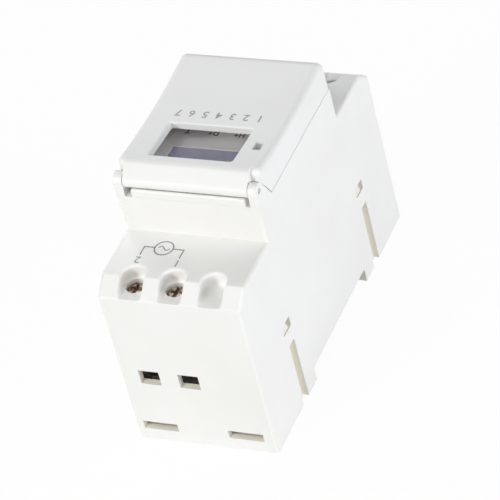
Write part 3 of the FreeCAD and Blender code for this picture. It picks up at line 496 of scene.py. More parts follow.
def add_print(name, parts, node, ink, proud, body="root"):
    """Lays flat printed parts on a CAD node's upper side, so that their face stands proud of it."""
    mesh = merged(parts)
    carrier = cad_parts[node].data
    corners = [vertex.co for vertex in carrier.vertices]
    tree = BVHTree.FromPolygons(corners, [tuple(face.vertices) for face in carrier.polygons])
    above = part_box(node)[1][2] + 10 * MM
    for vertex in mesh.vertices:
        hit = tree.ray_cast(Vector((vertex.co.x, vertex.co.y, above)), Vector((0, 0, -1)))[0]
        vertex.co.z += hit.z + proud
    add_piece(name, mesh, ink, body)


class Steps(Tree):
    """A geometry tree with named inputs that ends in one realised mesh with its material."""

    def __init__(self, name, **inputs):
        tree = bpy.data.node_groups.new(name, "GeometryNodeTree")
        super().__init__(tree)
        kinds = {float: "NodeSocketFloat", int: "NodeSocketInt"}
        tree.interface.new_socket("Geometry", in_out="INPUT", socket_type="NodeSocketGeometry")
        tree.interface.new_socket("Material", in_out="INPUT", socket_type="NodeSocketMaterial")
        for label, value in inputs.items():
            words = label.replace("_", " ")
            socket = tree.interface.new_socket(words, in_out="INPUT", socket_type=kinds[type(value)])
            socket.default_value = value
        tree.interface.new_socket("Geometry", in_out="OUTPUT", socket_type="NodeSocketGeometry")
        # The last output is the empty one that Blender keeps for new inputs.
        given = tree.nodes.new("NodeGroupInput").outputs[:-1]
        self.geometry, self.material, *self.values = (Signal(self, socket) for socket in given)

    def end(self, geometry):
        realised = self.node("GeometryNodeRealizeInstances", {}, {"Geometry": geometry})
        inputs = {"Geometry": realised, "Material": self.material}
        painted = self.node("GeometryNodeSetMaterial", {}, inputs)
        out = self.tree.nodes.new("NodeGroupOutput")
        self.tree.links.new(painted.socket, out.inputs[0])
        return self.tree

    def moved(self, geometry, **inputs):
        return self.node("GeometryNodeTransform", {}, {"Geometry": geometry, **inputs})

    def together(self, *parts):
        join = self.tree.nodes.new("GeometryNodeJoinGeometry")
        for part in parts:
            self.tree.links.new(part.socket, join.inputs[0])
        return Signal(self, join.outputs[0])

    def vector(self, **parts):
        return self.node("ShaderNodeCombineXYZ", {}, parts)

    def cylinder(self, sides, radius, length):
        inputs = {"Vertices": sides, "Radius": radius, "Depth": length}
        return self.node("GeometryNodeMeshCylinder", {}, inputs)

    def set_on(self, points, shape, **more):
        inputs = {"Points": points, "Instance": shape, **more}
        return self.node("GeometryNodeInstanceOnPoints", {}, inputs)


def grown(tree, material, base=None, **values):
    """Mesh that a geometry tree makes from its inputs, on a base mesh if it needs one."""
    source = bpy.data.objects.new("grown", base or bpy.data.meshes.new("empty"))
    modifier = source.modifiers.new("grown", "NODES")
    modifier.node_group = tree
    values["Material"] = material
    for label, value in values.items():
        identifier = tree.interface.items_tree[label.replace("_", " ")].identifier
        modifier[identifier] = value
    return evaluated_mesh(source)


def bar_row_steps():
    """Row of round bars along X, each bar upright and centred on the row."""
    steps = Steps("bar_row", Bars=10, Pitch=0.001, Radius=0.0004, Length=0.01, Sides=12)
    bars, pitch, radius, length, sides = steps.values
    start = steps.vector(X=(bars - 1) * pitch * -0.5)
    line = {"Count": bars, "Offset": steps.vector(X=pitch), "Start Location": start}
    row = steps.node("GeometryNodeMeshLine", {}, line)
    return steps.end(steps.set_on(row, steps.cylinder(sides, radius, length)))


def thread_steps():
    """Screw thread along Z: a ridge wound round a core, from Z 0 down."""
    sizes = {"Core_Radius": 0.0012, "Crest_Radius": 0.0015, "Pitch": 0.0005, "Length": 0.01}
    steps = Steps("thread", **sizes, Steps_per_Turn=20)
    core_radius, crest_radius, pitch, length, fineness = steps.values
    core_sides = 32
    middle = (core_radius + crest_radius) * 0.5
    spiral = {
        "Resolution": fineness,
        "Rotations": length / pitch,
        "Start Radius": middle,
        "End Radius": middle,
        "Height": length,
    }
    path = steps.node("GeometryNodeCurveSpiral", {}, spiral)
    ridge = {"Resolution": 4, "Radius": crest_radius - middle}
    ridge = steps.node("GeometryNodeCurvePrimitiveCircle", {}, ridge)
    sweep = {"Curve": path, "Profile Curve": ridge, "Fill Caps": True}
    winding = steps.node("GeometryNodeCurveToMesh", {}, sweep)
    down = length * -1
    winding = steps.moved(winding, Translation=steps.vector(Z=down))
    core = steps.cylinder(core_sides, core_radius, length)
    core = steps.moved(core, Translation=steps.vector(Z=down * 0.5))
    return steps.end(steps.together(winding, core))


def solder_steps():
    """Solder joints under a board: a cone of solder round a clipped lead on each point."""
    sizes = {"Joint_Radius": 0.0008, "Joint_Height": 0.0008, "Lead_Radius": 0.0003, "Size_Spread": 0.2}
    steps = Steps("solder", **sizes, Seed=4)
    joint_radius, joint_height, lead_radius, size_spread, seed = steps.values
    cone_sides, lead_sides = 14, 10
    cone = {
        "Vertices": cone_sides,
        "Radius Top": joint_radius,
        "Radius Bottom": lead_radius * 1.3,
        "Depth": joint_height,
    }
    cone = steps.node("GeometryNodeMeshCone", {}, cone)
    cone = steps.moved(cone, Translation=steps.vector(Z=joint_height * -1))
    lead_length = joint_height * 1.5
    lead = steps.cylinder(lead_sides, lead_radius, lead_length)
    lead = steps.moved(lead, Translation=steps.vector(Z=lead_length * -0.5))
    low, high, result = 2, 3, 1
    spread = {low: 1 - size_spread, high: 1 + size_spread, "Seed": seed}
    size = steps.node("FunctionNodeRandomValue", {"data_type": "FLOAT"}, spread, result)
    return steps.end(steps.set_on(steps.geometry, steps.together(cone, lead), Scale=size))


def segment_steps():
    """Bars of the display's figures: a pointed bar on each point, turned and stretched as the point says."""
    steps = Steps("segments", Bar_Width=0.0006, Bar_Depth=0.00002)
    bar_width, bar_depth = steps.values
    length, turn = (
        steps.node("GeometryNodeInputNamedAttribute", {"data_type": "FLOAT"}, {"Name": name})
        for name in ("bar_length", "bar_turn")
    )
    # A hexagon is this much wider over its corners than over its flats.
    corners_over_flats = 1.1547
    size = steps.vector(X=length, Y=bar_width * corners_over_flats, Z=bar_depth)
    bar = steps.cylinder(6, 0.5, 1.0)
    placed = steps.set_on(steps.geometry, bar, Rotation=steps.vector(Z=turn), Scale=size)
    return steps.end(placed)


def point_mesh(places, **attributes):
    """Mesh of loose points, with values for each."""
    mesh = bpy.data.meshes.new("points")
    mesh.from_pydata([tuple(place) for place in places], [], [])
    for name, values in attributes.items():
        attribute = mesh.attributes.new(name, "FLOAT", "POINT")
        attribute.data.foreach_set("value", values)
    return mesh


class CaseSettings(bpy.types.PropertyGroup):
    case_colour: colour_setting("Case colour", "Plastic of the case", 240, 239, 235)
    case_shade: colour_setting("Case shade", "Darker clouds in the case plastic", 236, 235, 230)
    # The inner colour is painted light: a brighter, warmer tone on the walls inside the case, for light
    # scattered through the plastic. The hull sizes bound where it goes.
    scattered_glow_colour: colour_setting("Inner colour", "Plastic on walls inside the case", 252, 245, 229)
    hull_width: length_setting("Hull width", "Width between the case's side faces", 36)
    hull_length: length_setting("Hull length", "Length between the case's end faces", 86)
    hull_top: length_setting("Hull top", "Height under which inner walls take the inner colour", 36)
    base_colour: colour_setting("Base colour", "Plastic of the rear cover", 241, 237, 227)
    base_shade: colour_setting("Base shade", "Darker clouds in the rear cover", 234, 229, 218)
    lid_colour: colour_setting("Lid colour", "Plastic of the lid", 239, 238, 235)
    lid_shade: colour_setting("Lid shade", "Darker clouds in the lid", 235, 234, 230)
    roughness: FloatProperty(
        name="Roughness", description="Dullness of the plastic", default=0.46, min=0, max=1
    )


class PrintSettings(bpy.types.PropertyGroup):
    ink: colour_setting("Ink", "Ink of the terminal diagrams", 128, 128, 126)
    lid_ink: colour_setting("Lid ink", "Ink of the figures on the lid", 158, 158, 159)
    line: length_setting("Line", "Width of the diagrams' lines", 0.34)
    figure: length_setting("Figure", "Height of the terminal numbers", 2.2)
    lid_figure: length_setting("Lid figure", "Height of the figures on the lid", 2.3)
    lid_span: length_setting("Lid span", "Distance from the first figure to the last", 20.8)
    lid_weight: FloatProperty(
        name="Lid weight", description="Thickening of the lid's figures", default=0.018
    )
    proud: length_setting("Proud", "How far the ink stands on the plastic", 0.015)
    depth: length_setting("Depth", "Thickness of the ink's solid", 0.04)


class DisplaySettings(bpy.types.PropertyGroup):
    film: colour_setting("Film", "Colour of the display's film", 190, 188, 208)
    film_shade: colour_setting("Film shade", "Darker parts of the film", 178, 176, 196)
    segment: colour_setting("Segment", "Resting colour of the display's bars", 170, 168, 188)
    digit_height: length_setting("Digit height", "Height of the large digits", 5.6)
    digit_width: length_setting("Digit width", "Width of the large digits", 2.7)
    digit_pitch: length_setting("Digit pitch", "Step from one digit to the next", 4.3)
    bar_width: length_setting("Bar width", "Width of one bar of a digit", 0.62)


class PanelSettings(bpy.types.PropertyGroup):
    panel_colour: colour_setting("Panel colour", "Plastic of the front panel", 240, 236, 235)
    panel_shade: colour_setting("Panel shade", "Darker clouds in the front panel", 233, 229, 228)
    key_colour: colour_setting("Key colour", "Plastic of the keys", 148, 150, 156)
    key_shade: colour_setting("Key shade", "Darker parts of the keys", 134, 136, 143)
    mark: colour_setting("Mark", "Ink of the marks beside the keys", 104, 98, 102)
    mark_height: length_setting("Mark height", "Height of the marks", 1.6)
    mark_weight: FloatProperty(name="Mark weight", description="Thickening of the marks", default=0.03)
    mark_pitch: length_setting("Mark pitch", "Step between the marks of the near row", 6.6)
    near_offset: length_setting("Near offset", "Distance from the near row of keys to its marks", 5.95)
    far_offset: length_setting("Far offset", "Distance from the far row of keys to its marks", 4.2)


class TerminalSettings(bpy.types.PropertyGroup):
    screw_colour: colour_setting("Screw colour", "Plating of the terminal screws", 216, 204, 190)
    # The screw stain is partly painted reflection: its brown patches stand for dark surroundings mirrored in
    # the heads, as well as for dull plating.
    screw_stain_and_reflection: colour_setting("Screw stain", "Dull parts of the plating", 118, 94, 74)
    cage_colour: colour_setting("Cage colour", "Plating of the clamp cages", 178, 174, 168)
    cage_stain: colour_setting("Cage stain", "Dull parts of the cages", 110, 100, 90)
    brass: colour_setting("Brass", "Metal of the terminal bars", 206, 170, 104)
    brass_stain: colour_setting("Brass stain", "Tarnish on the terminal bars", 150, 112, 60)
    head_height: length_setting("Head height", "Height of a screw's head", 2.3)
    head_round: length_setting("Head round", "Rounding of a head's upper edge", 0.35)
    slot_width: length_setting("Slot width", "Width of the driver slots", 0.8)
    slot_depth: length_setting("Slot depth", "Depth of the driver slots", 1.3)
    cross_reach: length_setting("Cross reach", "Half length of the short slot", 1.35)
    thread_radius: length_setting("Thread radius", "Outer radius of the thread", 1.5)
    thread_pitch: length_setting("Thread pitch", "Rise of the thread in one turn", 0.5)
    thread_depth: length_setting("Thread depth", "Depth of the thread", 0.28)


class BoardSettings(bpy.types.PropertyGroup):
    mask: colour_setting("Solder mask", "Solder mask of the boards", 28, 92, 56)
    track: colour_setting("Track", "Copper under the mask", 52, 128, 76)
    edge: colour_setting("Laminate edge", "Bare edge of the laminate", 196, 184, 136)
    tin: colour_setting("Tin", "Tinned pads and solder", 206, 206, 202)
    cable: colour_setting("Cable", "Insulation of the flat cable", 176, 178, 182)
    wires: count_setting("Wires", "Wires in the flat cable", 12, 2, 40)
    joint_radius: length_setting("Joint radius", "Radius of a solder joint", 0.75)
    joint_height: length_setting("Joint height", "Height of a solder joint", 0.7)
    grip_ribs: count_setting("Grip ribs", "Ribs on the rail clip's tail", 5, 1, 12)
    spread_seed: IntProperty(name="Seed", description="Seed of the solder joints' sizes", default=4)


class StageSettings(bpy.types.PropertyGroup):
    camera_place: vector_setting(
        "Camera place", "Where the camera stands", "TRANSLATION", (-0.331303, 0.551062, 0.540249), "LENGTH"
    )
    camera_right: vector_setting(
        "Camera right",
        "Direction of the picture's right side",
        "DIRECTION",
        (-0.91110295, -0.35792158, -0.20441026),
    )
    camera_up: vector_setting(
        "Camera up",
        "Direction of the picture's upper side",
        "DIRECTION",
        (0.08764283, -0.65281412, 0.75243103),
    )
    lens: FloatProperty(name="Lens", description="Focal length in millimetres", default=248.4, min=1)
    sky: FloatProperty(name="Sky", description="Strength of the even light", default=0.14, min=0)
    key_power: power_setting("Key power", "Power of the main lamp", 9.4)
    side_power: power_setting("Side power", "Power of the side lamp", 6.0)
    low_power: power_setting("Low power", "Power of the low side lamp", 8.4)
    front_power: power_setting("Front power", "Power of the front lamp", 2.3)
    upper_power: power_setting("Upper power", "Power of the upper lamp", 3.6)
    back_power: power_setting("Back power", "Power of the rear lamp", 5.6)
    cool: colour_setting("Cool light", "Colour of the side, low, upper and rear lamps", 246, 249, 255)
    floor_size: length_setting("Floor size", "Width of the floor", 8000)
    floor_white: FloatProperty(
        name="Floor white", description="Share of plain white in the floor that the camera sees", default=0.96
    )


class TIMER_OT_dress_case(bpy.types.Operator):
    """Moulded plastic on the case and on its rear cover"""

    bl_idname = "timer.dress_case"
    bl_label = "Dress the case"

    def execute(self, context):
        use = context.scene.timer_case
        recipe = {
            "dust": 0.6,
            # Painted light: the inner colour brightens and warms the case's inner walls, for light scattered
            # through its plastic.
            "inner": use.scattered_glow_colour,
            "hull": (use.hull_width / 2, use.hull_length / 2, use.hull_top),
        }
        case = moulded_plastic("case_plastic", use.case_colour, use.case_shade, use.roughness, **recipe)
        dress("housing", case)
        base = moulded_plastic("base_plastic", use.base_colour, use.base_shade, use.roughness + 0.05)
        dress("base", base)
        return {"FINISHED"}


class TIMER_OT_dress_lid(bpy.types.Operator):
    """Moulded plastic on the flip lid"""

    bl_idname = "timer.dress_lid"
    bl_label = "Dress the lid"

    def execute(self, context):
        use = context.scene.timer_case
        plastic = moulded_plastic("lid_plastic", use.lid_colour, use.lid_shade, use.roughness, 3e-6, 0.6)
        dress("lid", plastic)
        return {"FINISHED"}


class TIMER_OT_print_lid(bpy.types.Operator):
    """Row of plain figures across the lid, one for each day"""

    bl_idname = "timer.print_lid"
    bl_label = "Print the lid's figures"

    days = 7
    row_y = -0.45 * MM

    def execute(self, context):
        use = context.scene.timer_print
        ground = context.scene.timer_case.lid_colour
        figures = []
        for day in range(self.days):
            place = ((day / (self.days - 1) - 0.5) * use.lid_span, self.row_y)
            figures.append(lettering(str(day + 1), use.lid_figure, place, use.depth, use.lid_weight))
        ink = printed_ink("lid_ink", use.lid_ink, ground)
        add_print("lid_figures", figures, "lid", ink, use.proud, "lid")
        return {"FINISHED"}


class TIMER_OT_print_supply(bpy.types.Operator):
    """Supply diagram on the near shoulder: an alternating source between terminals 1 and 2"""

    bl_idname = "timer.print_supply"
    bl_label = "Print the supply diagram"

    source = (6.15 * MM, 28.4 * MM)
    source_radius = 2.3 * MM
    wave_length = 2.9 * MM
    wave_height = 0.6 * MM
    wave_steps = 28
    lead_x = (11.1 * MM, 1.1 * MM)
    lead_end = 31.3 * MM
    figure_y = 33.1 * MM
    figure_shift = 0.1 * MM
    wave_weight = 0.85

    def execute(self, context):
        use = context.scene.timer_print
        middle, level = self.source
        parts = [stroke(ring_points(self.source, self.source_radius), use.line, use.depth, closed=True)]
        wave = []
        for step in range(self.wave_steps + 1):
            share = step / self.wave_steps
            rise = self.wave_height * math.sin(2 * math.pi * share)
            wave.append((middle + (share - 0.5) * self.wave_length, level + rise))
        parts.append(stroke(wave, use.line * self.wave_weight, use.depth))
        for figure, x in zip("21", self.lead_x):
            start = (middle + math.copysign(self.source_radius, x - middle), level)
            parts.append(stroke([start, (x, level), (x, self.lead_end)], use.line, use.depth))
            place = (x - self.figure_shift, self.figure_y)
            parts.append(lettering(figure, use.figure, place, use.depth))
        ink = printed_ink("supply_ink", use.ink, context.scene.timer_case.case_colour)
        add_print("supply_diagram", parts, "housing", ink, use.proud)
        return {"FINISHED"}


class TIMER_OT_print_contact(bpy.types.Operator):
    """Changeover contact on the far shoulder, between terminals 3, 4 and 5"""

    bl_idname = "timer.print_contact"
    bl_label = "Print the contact diagram"

    figure_y = -33.1 * MM
    lead_foot = -31.3 * MM
    contact_y = -27.6 * MM
    pivot_y = -29.6 * MM
    contact_reach = 2.4 * MM
    lever_end = (-2.1 * MM, -26.7 * MM)
    dot = 0.35 * MM
    dot_sides = 20

    def execute(self, context):
        use = context.scene.timer_print
        xs = [centre_of(f"terminal_screw_{number}").x for number in (3, 4, 5)]
        parts = []
        for figure, x in zip("345", xs):
            parts.append(lettering(figure, use.figure, (x, self.figure_y), use.depth))
        left, middle, right = xs
        pivot = (middle, self.pivot_y)
        lines = []
        for x, side in ((left, -1), (right, 1)):
            contact = (middle + side * self.contact_reach, self.contact_y)
            lines.append([(x, self.lead_foot), (x, self.contact_y), contact])
        lines.append([(middle, self.lead_foot), pivot])
        lines.append([pivot, (middle + self.lever_end[0], self.lever_end[1])])
        parts += [stroke(line, use.line, use.depth) for line in lines]
        dot = ring_points(pivot, self.dot, self.dot_sides)
        parts.append(stroke(dot, use.line, use.depth, closed=True))
        ink = printed_ink("contact_ink", use.ink, context.scene.timer_case.case_colour)
        add_print("contact_diagram", parts, "housing", ink, use.proud)
        return {"FINISHED"}


class TIMER_OT_dress_panel(bpy.types.Operator):
    """Front panel under the lid, its keys and the marks beside them"""

    bl_idname = "timer.dress_panel"
    bl_label = "Dress the front panel and keys"

    near_marks = {"clock": "T", "day": "D+", "hour": "H+", "minute": "M+"}
    far_marks = {"program": "P", "manual": "0-1", "recall": "C"}

    def marks(self, use):
        """Words, X and Y of each mark: the near row is spaced evenly, the far row stands at its keys."""
        half = (len(self.near_marks) - 1) / 2
        for step, (name, words) in enumerate(self.near_marks.items()):
            x = (half - step) * use.mark_pitch
            yield words, (x, centre_of(f"key_{name}").y + use.near_offset)
        for name, words in self.far_marks.items():
            place = centre_of(f"key_{name}")
            yield words, (place.x, place.y + use.far_offset)

    def execute(self, context):
        use = context.scene.timer_panel
        dress("front_panel", moulded_plastic("panel_plastic", use.panel_colour, use.panel_shade, 0.5))
        key_finish = moulded_plastic("key_plastic", use.key_colour, use.key_shade, 0.55, 6e-6)
        for name in [*self.near_marks, *self.far_marks]:
            dress(f"key_{name}", key_finish)
        printing = context.scene.timer_print
        parts = [
            lettering(words, use.mark_height, place, printing.depth, use.mark_weight)
            for words, place in self.marks(use)
        ]
        ink = printed_ink("panel_ink", use.mark, use.panel_colour)
        add_print("panel_marks", parts, "front_panel", ink, printing.proud)
        return {"FINISHED"}


class TIMER_OT_fit_display(bpy.types.Operator):
    """Film and resting bars on the display, and what holds the display"""

    bl_idname = "timer.fit_display"
    bl_label = "Fit the display"

    film_thickness = 0.06 * MM
    bar_depth = 0.03 * MM
    border = (1.5 * MM, 1.8 * MM)
    corner = 0.3 * MM
    digits_y = 8.8 * MM
    digit_steps = (-1.6, -0.6, 0.6, 1.6)
    bar_share = 0.93
    lean = math.radians(4)
    days_y = 13.6 * MM
    day_pitch = 2.7 * MM
    day_height = 1.2 * MM
    dot_sides = 12

    def window(self):
        """Limits in X and in Y of the front sheet, which is smaller than the sheet behind it."""
        low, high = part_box("display_glass")
        return [(low[axis] + edge, high[axis] - edge) for axis, edge in enumerate(self.border)]

    def bars(self, use, middle):
        """Places, lengths and turns of the bars of four digits about a middle."""
        width, half = use.digit_width, use.digit_height / 2
        shape = [(0, rise * half, width, 0) for rise in (1, 0, -1)]
        for side in (1, -1):
            for rise in (1, -1):
                shape.append((side * width / 2, rise * half / 2, half, math.pi / 2))
        places, lengths, turns = [], [], []
        for digit in self.digit_steps:
            for dx, dy, length, turn in shape:
                x = middle + digit * use.digit_pitch + dx + dy * math.tan(self.lean)
                places.append((x, self.digits_y + dy, 0))
                lengths.append(length * self.bar_share)
                turns.append(turn - self.lean if turn else 0.0)
        return places, lengths, turns

    def execute(self, context):
        use = context.scene.timer_display
        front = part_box("display_glass")[1][2]
        glass = display_film("display_glass", use.film, use.film_shade)
        dress("display_glass", glass)
        (left, right), (near, far) = self.window()
        middle = (left + right) / 2
        outline = rounded_outline(middle, (near + far) / 2, right - left, far - near, self.corner)
        top = front + self.film_thickness
        film = slab(outline, front - self.film_thickness, top)
        add_piece("display_film", film, glass)
        places, lengths, turns = self.bars(use, middle)
        points = point_mesh(places, bar_length=lengths, bar_turn=turns)
        ink = printed_ink("segment_tone", use.segment, use.film)
        half = self.bar_depth / 2
        parts = [grown(segment_steps(), ink, points, Bar_Width=use.bar_width, Bar_Depth=self.bar_depth)]
        for dot in (1, -1):
            place = (middle, self.digits_y + dot * use.digit_height / 5)
            parts.append(slab(ring_points(place, use.bar_width / 2, self.dot_sides), -half, half))
        for day in range(-3, 4):
            place = (middle + day * self.day_pitch, self.days_y)
            figure = lettering(str(day + 4), self.day_height, place, self.bar_depth)
            figure.transform(Matrix.Translation((0, 0, half)))
            parts.append(figure)
        figures = merged(parts)
        figures.transform(Matrix.Translation((0, 0, top)))
        add_piece("display_bars", figures, ink)
        frame_plastic = moulded_plastic("frame_plastic", tint(196, 196, 192), tint(184, 184, 180), 0.5)
        dress("display_frame", frame_plastic)
        rubber = moulded_plastic("contact_rubber", tint(206, 158, 168), tint(60, 56, 60), 0.7)
        dress("display_connectors", rubber)
        return {"FINISHED"}


class TIMER_OT_dress_lamp(bpy.types.Operator):
    """Diffused resin of the indicator lamp"""

    bl_idname = "timer.dress_lamp"
    bl_label = "Dress the indicator lamp"

    # Heights over which the painted shade darkens the resin.
    dark_from, dark_to = 51 * MM, 58 * MM

    def execute(self, context):
        finish = Finish("lamp_resin")
        haze = finish.grain(0.8 * MM, 2.0)
        # Painted shade: the resin turns darker brown towards its top, for the lamp seen in shadow deep under
        # the lid's hole.
        depth = finish.axis("Z").ramped(self.dark_from, self.dark_to)
        colour = finish.mixed(haze * 0.4, tint(150, 62, 48), tint(176, 112, 88))
        colour = finish.mixed(depth * 0.3, colour, tint(120, 84, 66))
        material = finish.surface(colour, 0.18 + haze * 0.08, Coat_Weight=0.6, Coat_Roughness=0.05)
        dress("indicator_lamp", material)
        return {"FINISHED"}


class TIMER_OT_fit_terminal_screws(bpy.types.Operator):
    """Five captive screws with a slotted cross head and a cut thread"""

    bl_idname = "timer.fit_terminal_screws"
    bl_label = "Fit the terminal screws"

    sides = 120
    rings = 26
    edge_rings = 6
    soft = 0.07 * MM
    burr = 0.05 * MM
    burrs_per_metre = 1800
    smooth_under = 38

    def recess(self, use, x, y):
        """How far the driver slots go down at a place on the head, from 0 to 1."""
        half = use.slot_width / 2

        def inside(value, edge):
            share = (edge + self.soft - abs(value)) / (2 * self.soft)
            return min(1, max(0, share))

        return max(inside(x, half), inside(y, half) * inside(x, use.cross_reach))

    def head(self, use, radius, top):
        """The head as rings from its middle over the rounded edge and down its side."""
        shape = bmesh.new()
        flat = radius - use.head_round
        radii = [flat * ring / self.rings for ring in range(1, self.rings + 1)]
        drops = [0.0] * self.rings
        for step in range(1, self.edge_rings + 1):
            turn = math.pi / 2 * step / self.edge_rings
            radii.append(flat + use.head_round * math.sin(turn))
            drops.append(use.head_round * (1 - math.cos(turn)))
        middle = shape.verts.new((0, 0, top - use.slot_depth))
        loops = []
        for ring_radius, drop in zip(radii, drops):
            loop = []
            for x, y in ring_points((0, 0), ring_radius, self.sides):
                worn = noise.noise(Vector((x, y, top)) * self.burrs_per_metre) * self.burr
                deep = self.recess(use, x, y)
                z = top - drop * (1 - deep) - deep * use.slot_depth + worn * (1.2 - deep)
                loop.append(shape.verts.new((x, y, min(z, top))))
            loops.append(loop)
        lower = top - use.head_height
        core = use.thread_radius - use.thread_depth
        for ring_radius in (radius, core):
            ring = ring_points((0, 0), ring_radius, self.sides)
            loops.append([shape.verts.new((x, y, lower)) for x, y in ring])
        for index in range(self.sides):
            after = (index + 1) % self.sides
            shape.faces.new((middle, loops[0][index], loops[0][after]))
            for inner, outer in zip(loops, loops[1:]):
                shape.faces.new((inner[index], outer[index], outer[after], inner[after]))
        shape.faces.new(loops[-1])
        return mesh_from(shape, self.smooth_under)

    def execute(self, context):
        use = context.scene.timer_terminals
        # Brown patches cover most of each head: dull plating, together with a painted reflection of dark
        # surroundings.
        plating = plated_metal("screw_steel", use.screw_colour, use.screw_stain_and_reflection, 0.26, stain_share=0.75)
        thread_tree = thread_steps()
        for number in range(1, 6):
            node = f"terminal_screw_{number}"
            low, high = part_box(node)
            place = centre_of(node)
            head = self.head(use, (high[0] - low[0]) / 2, high[2])
            shank_top = high[2] - use.head_height
            thread = grown(
                thread_tree,
                plating,
                Core_Radius=use.thread_radius - use.thread_depth,
                Crest_Radius=use.thread_radius,
                Pitch=use.thread_pitch,
                Length=shank_top - low[2],
            )
            thread.transform(Matrix.Translation((0, 0, shank_top)))
            screw = merged([head, thread])
            screw.transform(Matrix.Translation((place.x, place.y, 0)))
            piece = add_piece(f"screw_detail_{number}", screw, plating, f"screw_{number}")
            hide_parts(node)
        return {"FINISHED"}


class TIMER_OT_dress_terminals(bpy.types.Operator):
    """Plated clamp cages and rolled brass bars"""

    bl_idname = "timer.dress_terminals"
    bl_label = "Dress the terminals"

    def execute(self, context):
        use = context.scene.timer_terminals
        cage = plated_metal("cage_steel", use.cage_colour, use.cage_stain, 0.3, (1, 8, 1), 0.4)
        brass = plated_metal("bar_brass", use.brass, use.brass_stain, 0.26, (1, 8, 1), 0.4)
        for number in range(1, 6):
            dress(f"clamp_cage_{number}", cage)
            dress(f"terminal_bar_{number}", brass)
        return {"FINISHED"}


class TIMER_OT_dress_boards(bpy.types.Operator):
    """Both circuit boards, their solder joints, the screws and the small switches"""

    bl_idname = "timer.dress_boards"
    bl_label = "Dress the boards"

    standing = ("relay", "line_capacitor", "varistor", "resistor", "rectifier_diodes", "filter_capacitors")
    lead_share = 0.34
    row_share = 0.32
    one_row_under = 9 * MM
    bar_joint = (1.2 * MM, 0.75 * MM)
    link_joints = 6

    def joint_places(self):
        """Places on the main board's underside where leads come through."""
        places = []
        for node in self.standing:
            low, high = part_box(node)
            middle = centre_of(node)
            reach, depth = (high[0] - low[0]) * self.lead_share, high[1] - low[1]
            rows = (0,) if depth < self.one_row_under else (-self.row_share, self.row_share)
            for row in rows:
                for side in (1, -1):
                    places.append((middle.x + side * reach, middle.y + row * depth))
        aside, inwards = self.bar_joint
        for number in range(1, 6):
            low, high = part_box(f"terminal_bar_{number}")
            middle = centre_of(f"terminal_bar_{number}")
            y = low[1] + inwards if middle.y > 0 else high[1] - inwards
            places += [(middle.x + side * aside, y) for side in (1, -1)]
        low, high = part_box("board_link")
        for step in range(self.link_joints):
            x = low[0] + (step + 0.5) * (high[0] - low[0]) / self.link_joints
            places.append((x, (low[1] + high[1]) / 2))
        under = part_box("main_board")[0][2]
        return [(x, y, under) for x, y in places]

    def execute(self, context):
        use = context.scene.timer_boards
        board = circuit_board("board_laminate", use.mask, use.track, use.edge, use.tin)
        dress("main_board", board)
        dress("display_board", board)
        solder = plated_metal("solder_tin", use.tin, tint(140, 140, 138), 0.24, stain_share=0.2)
        joints = grown(
            solder_steps(),
            solder,
            point_mesh(self.joint_places()),
            Joint_Radius=use.joint_radius,
            Joint_Height=use.joint_height,
            Seed=use.spread_seed,
        )
        add_piece("solder_joints", joints, solder)
        steel = (tint(188, 188, 186), tint(120, 118, 114))
        dress("board_screws", plated_metal("small_screw_steel", *steel, 0.28, stain_share=0.3))
        switch = moulded_plastic("switch_plastic", tint(52, 52, 56), tint(38, 38, 42), 0.5, 6e-6)
        dress("tact_switches", switch)
        dress("timer_chip", chip_resin(centre_of("timer_chip")))
        return {"FINISHED"}


class TIMER_OT_fit_link(bpy.types.Operator):
    """Flat cable between the boards, made of round wires side by side"""

    bl_idname = "timer.fit_link"
    bl_label = "Fit the flat cable"

    overlap = 1.04
    flatness = 0.86

    def execute(self, context):
        use = context.scene.timer_boards
        low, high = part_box("board_link")
        width, thickness, height = (high[axis] - low[axis] for axis in range(3))
        pitch = width / use.wires
        finish = Finish("cable_plastic")
        lines = finish.grain(0.9 * MM, 3.0, finish.stretched((3, 1, 0.3)))
        red_edge = finish.axis("X").under(low[0] + pitch)
        colour = finish.mixed(lines * 0.5, use.cable, tuple(channel * 0.7 for channel in use.cable))
        colour = finish.mixed(red_edge, colour, tint(168, 48, 44))
        plastic = finish.surface(colour, 0.4 + lines * 0.15, finish.bump(lines, 1e-5))
        radius = max(thickness, pitch * self.overlap) / 2
        row = {"Bars": use.wires, "Pitch": pitch, "Radius": radius, "Length": height, "Sides": 16}
        wires = grown(bar_row_steps(), plastic, **row)
        flattened = Matrix.Diagonal((1, self.flatness, 1, 1))
        wires.transform(Matrix.Translation(centre_of("board_link")) @ flattened)
        piece = add_piece("link_wires", wires, plastic)
        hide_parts("board_link")
        return {"FINISHED"}


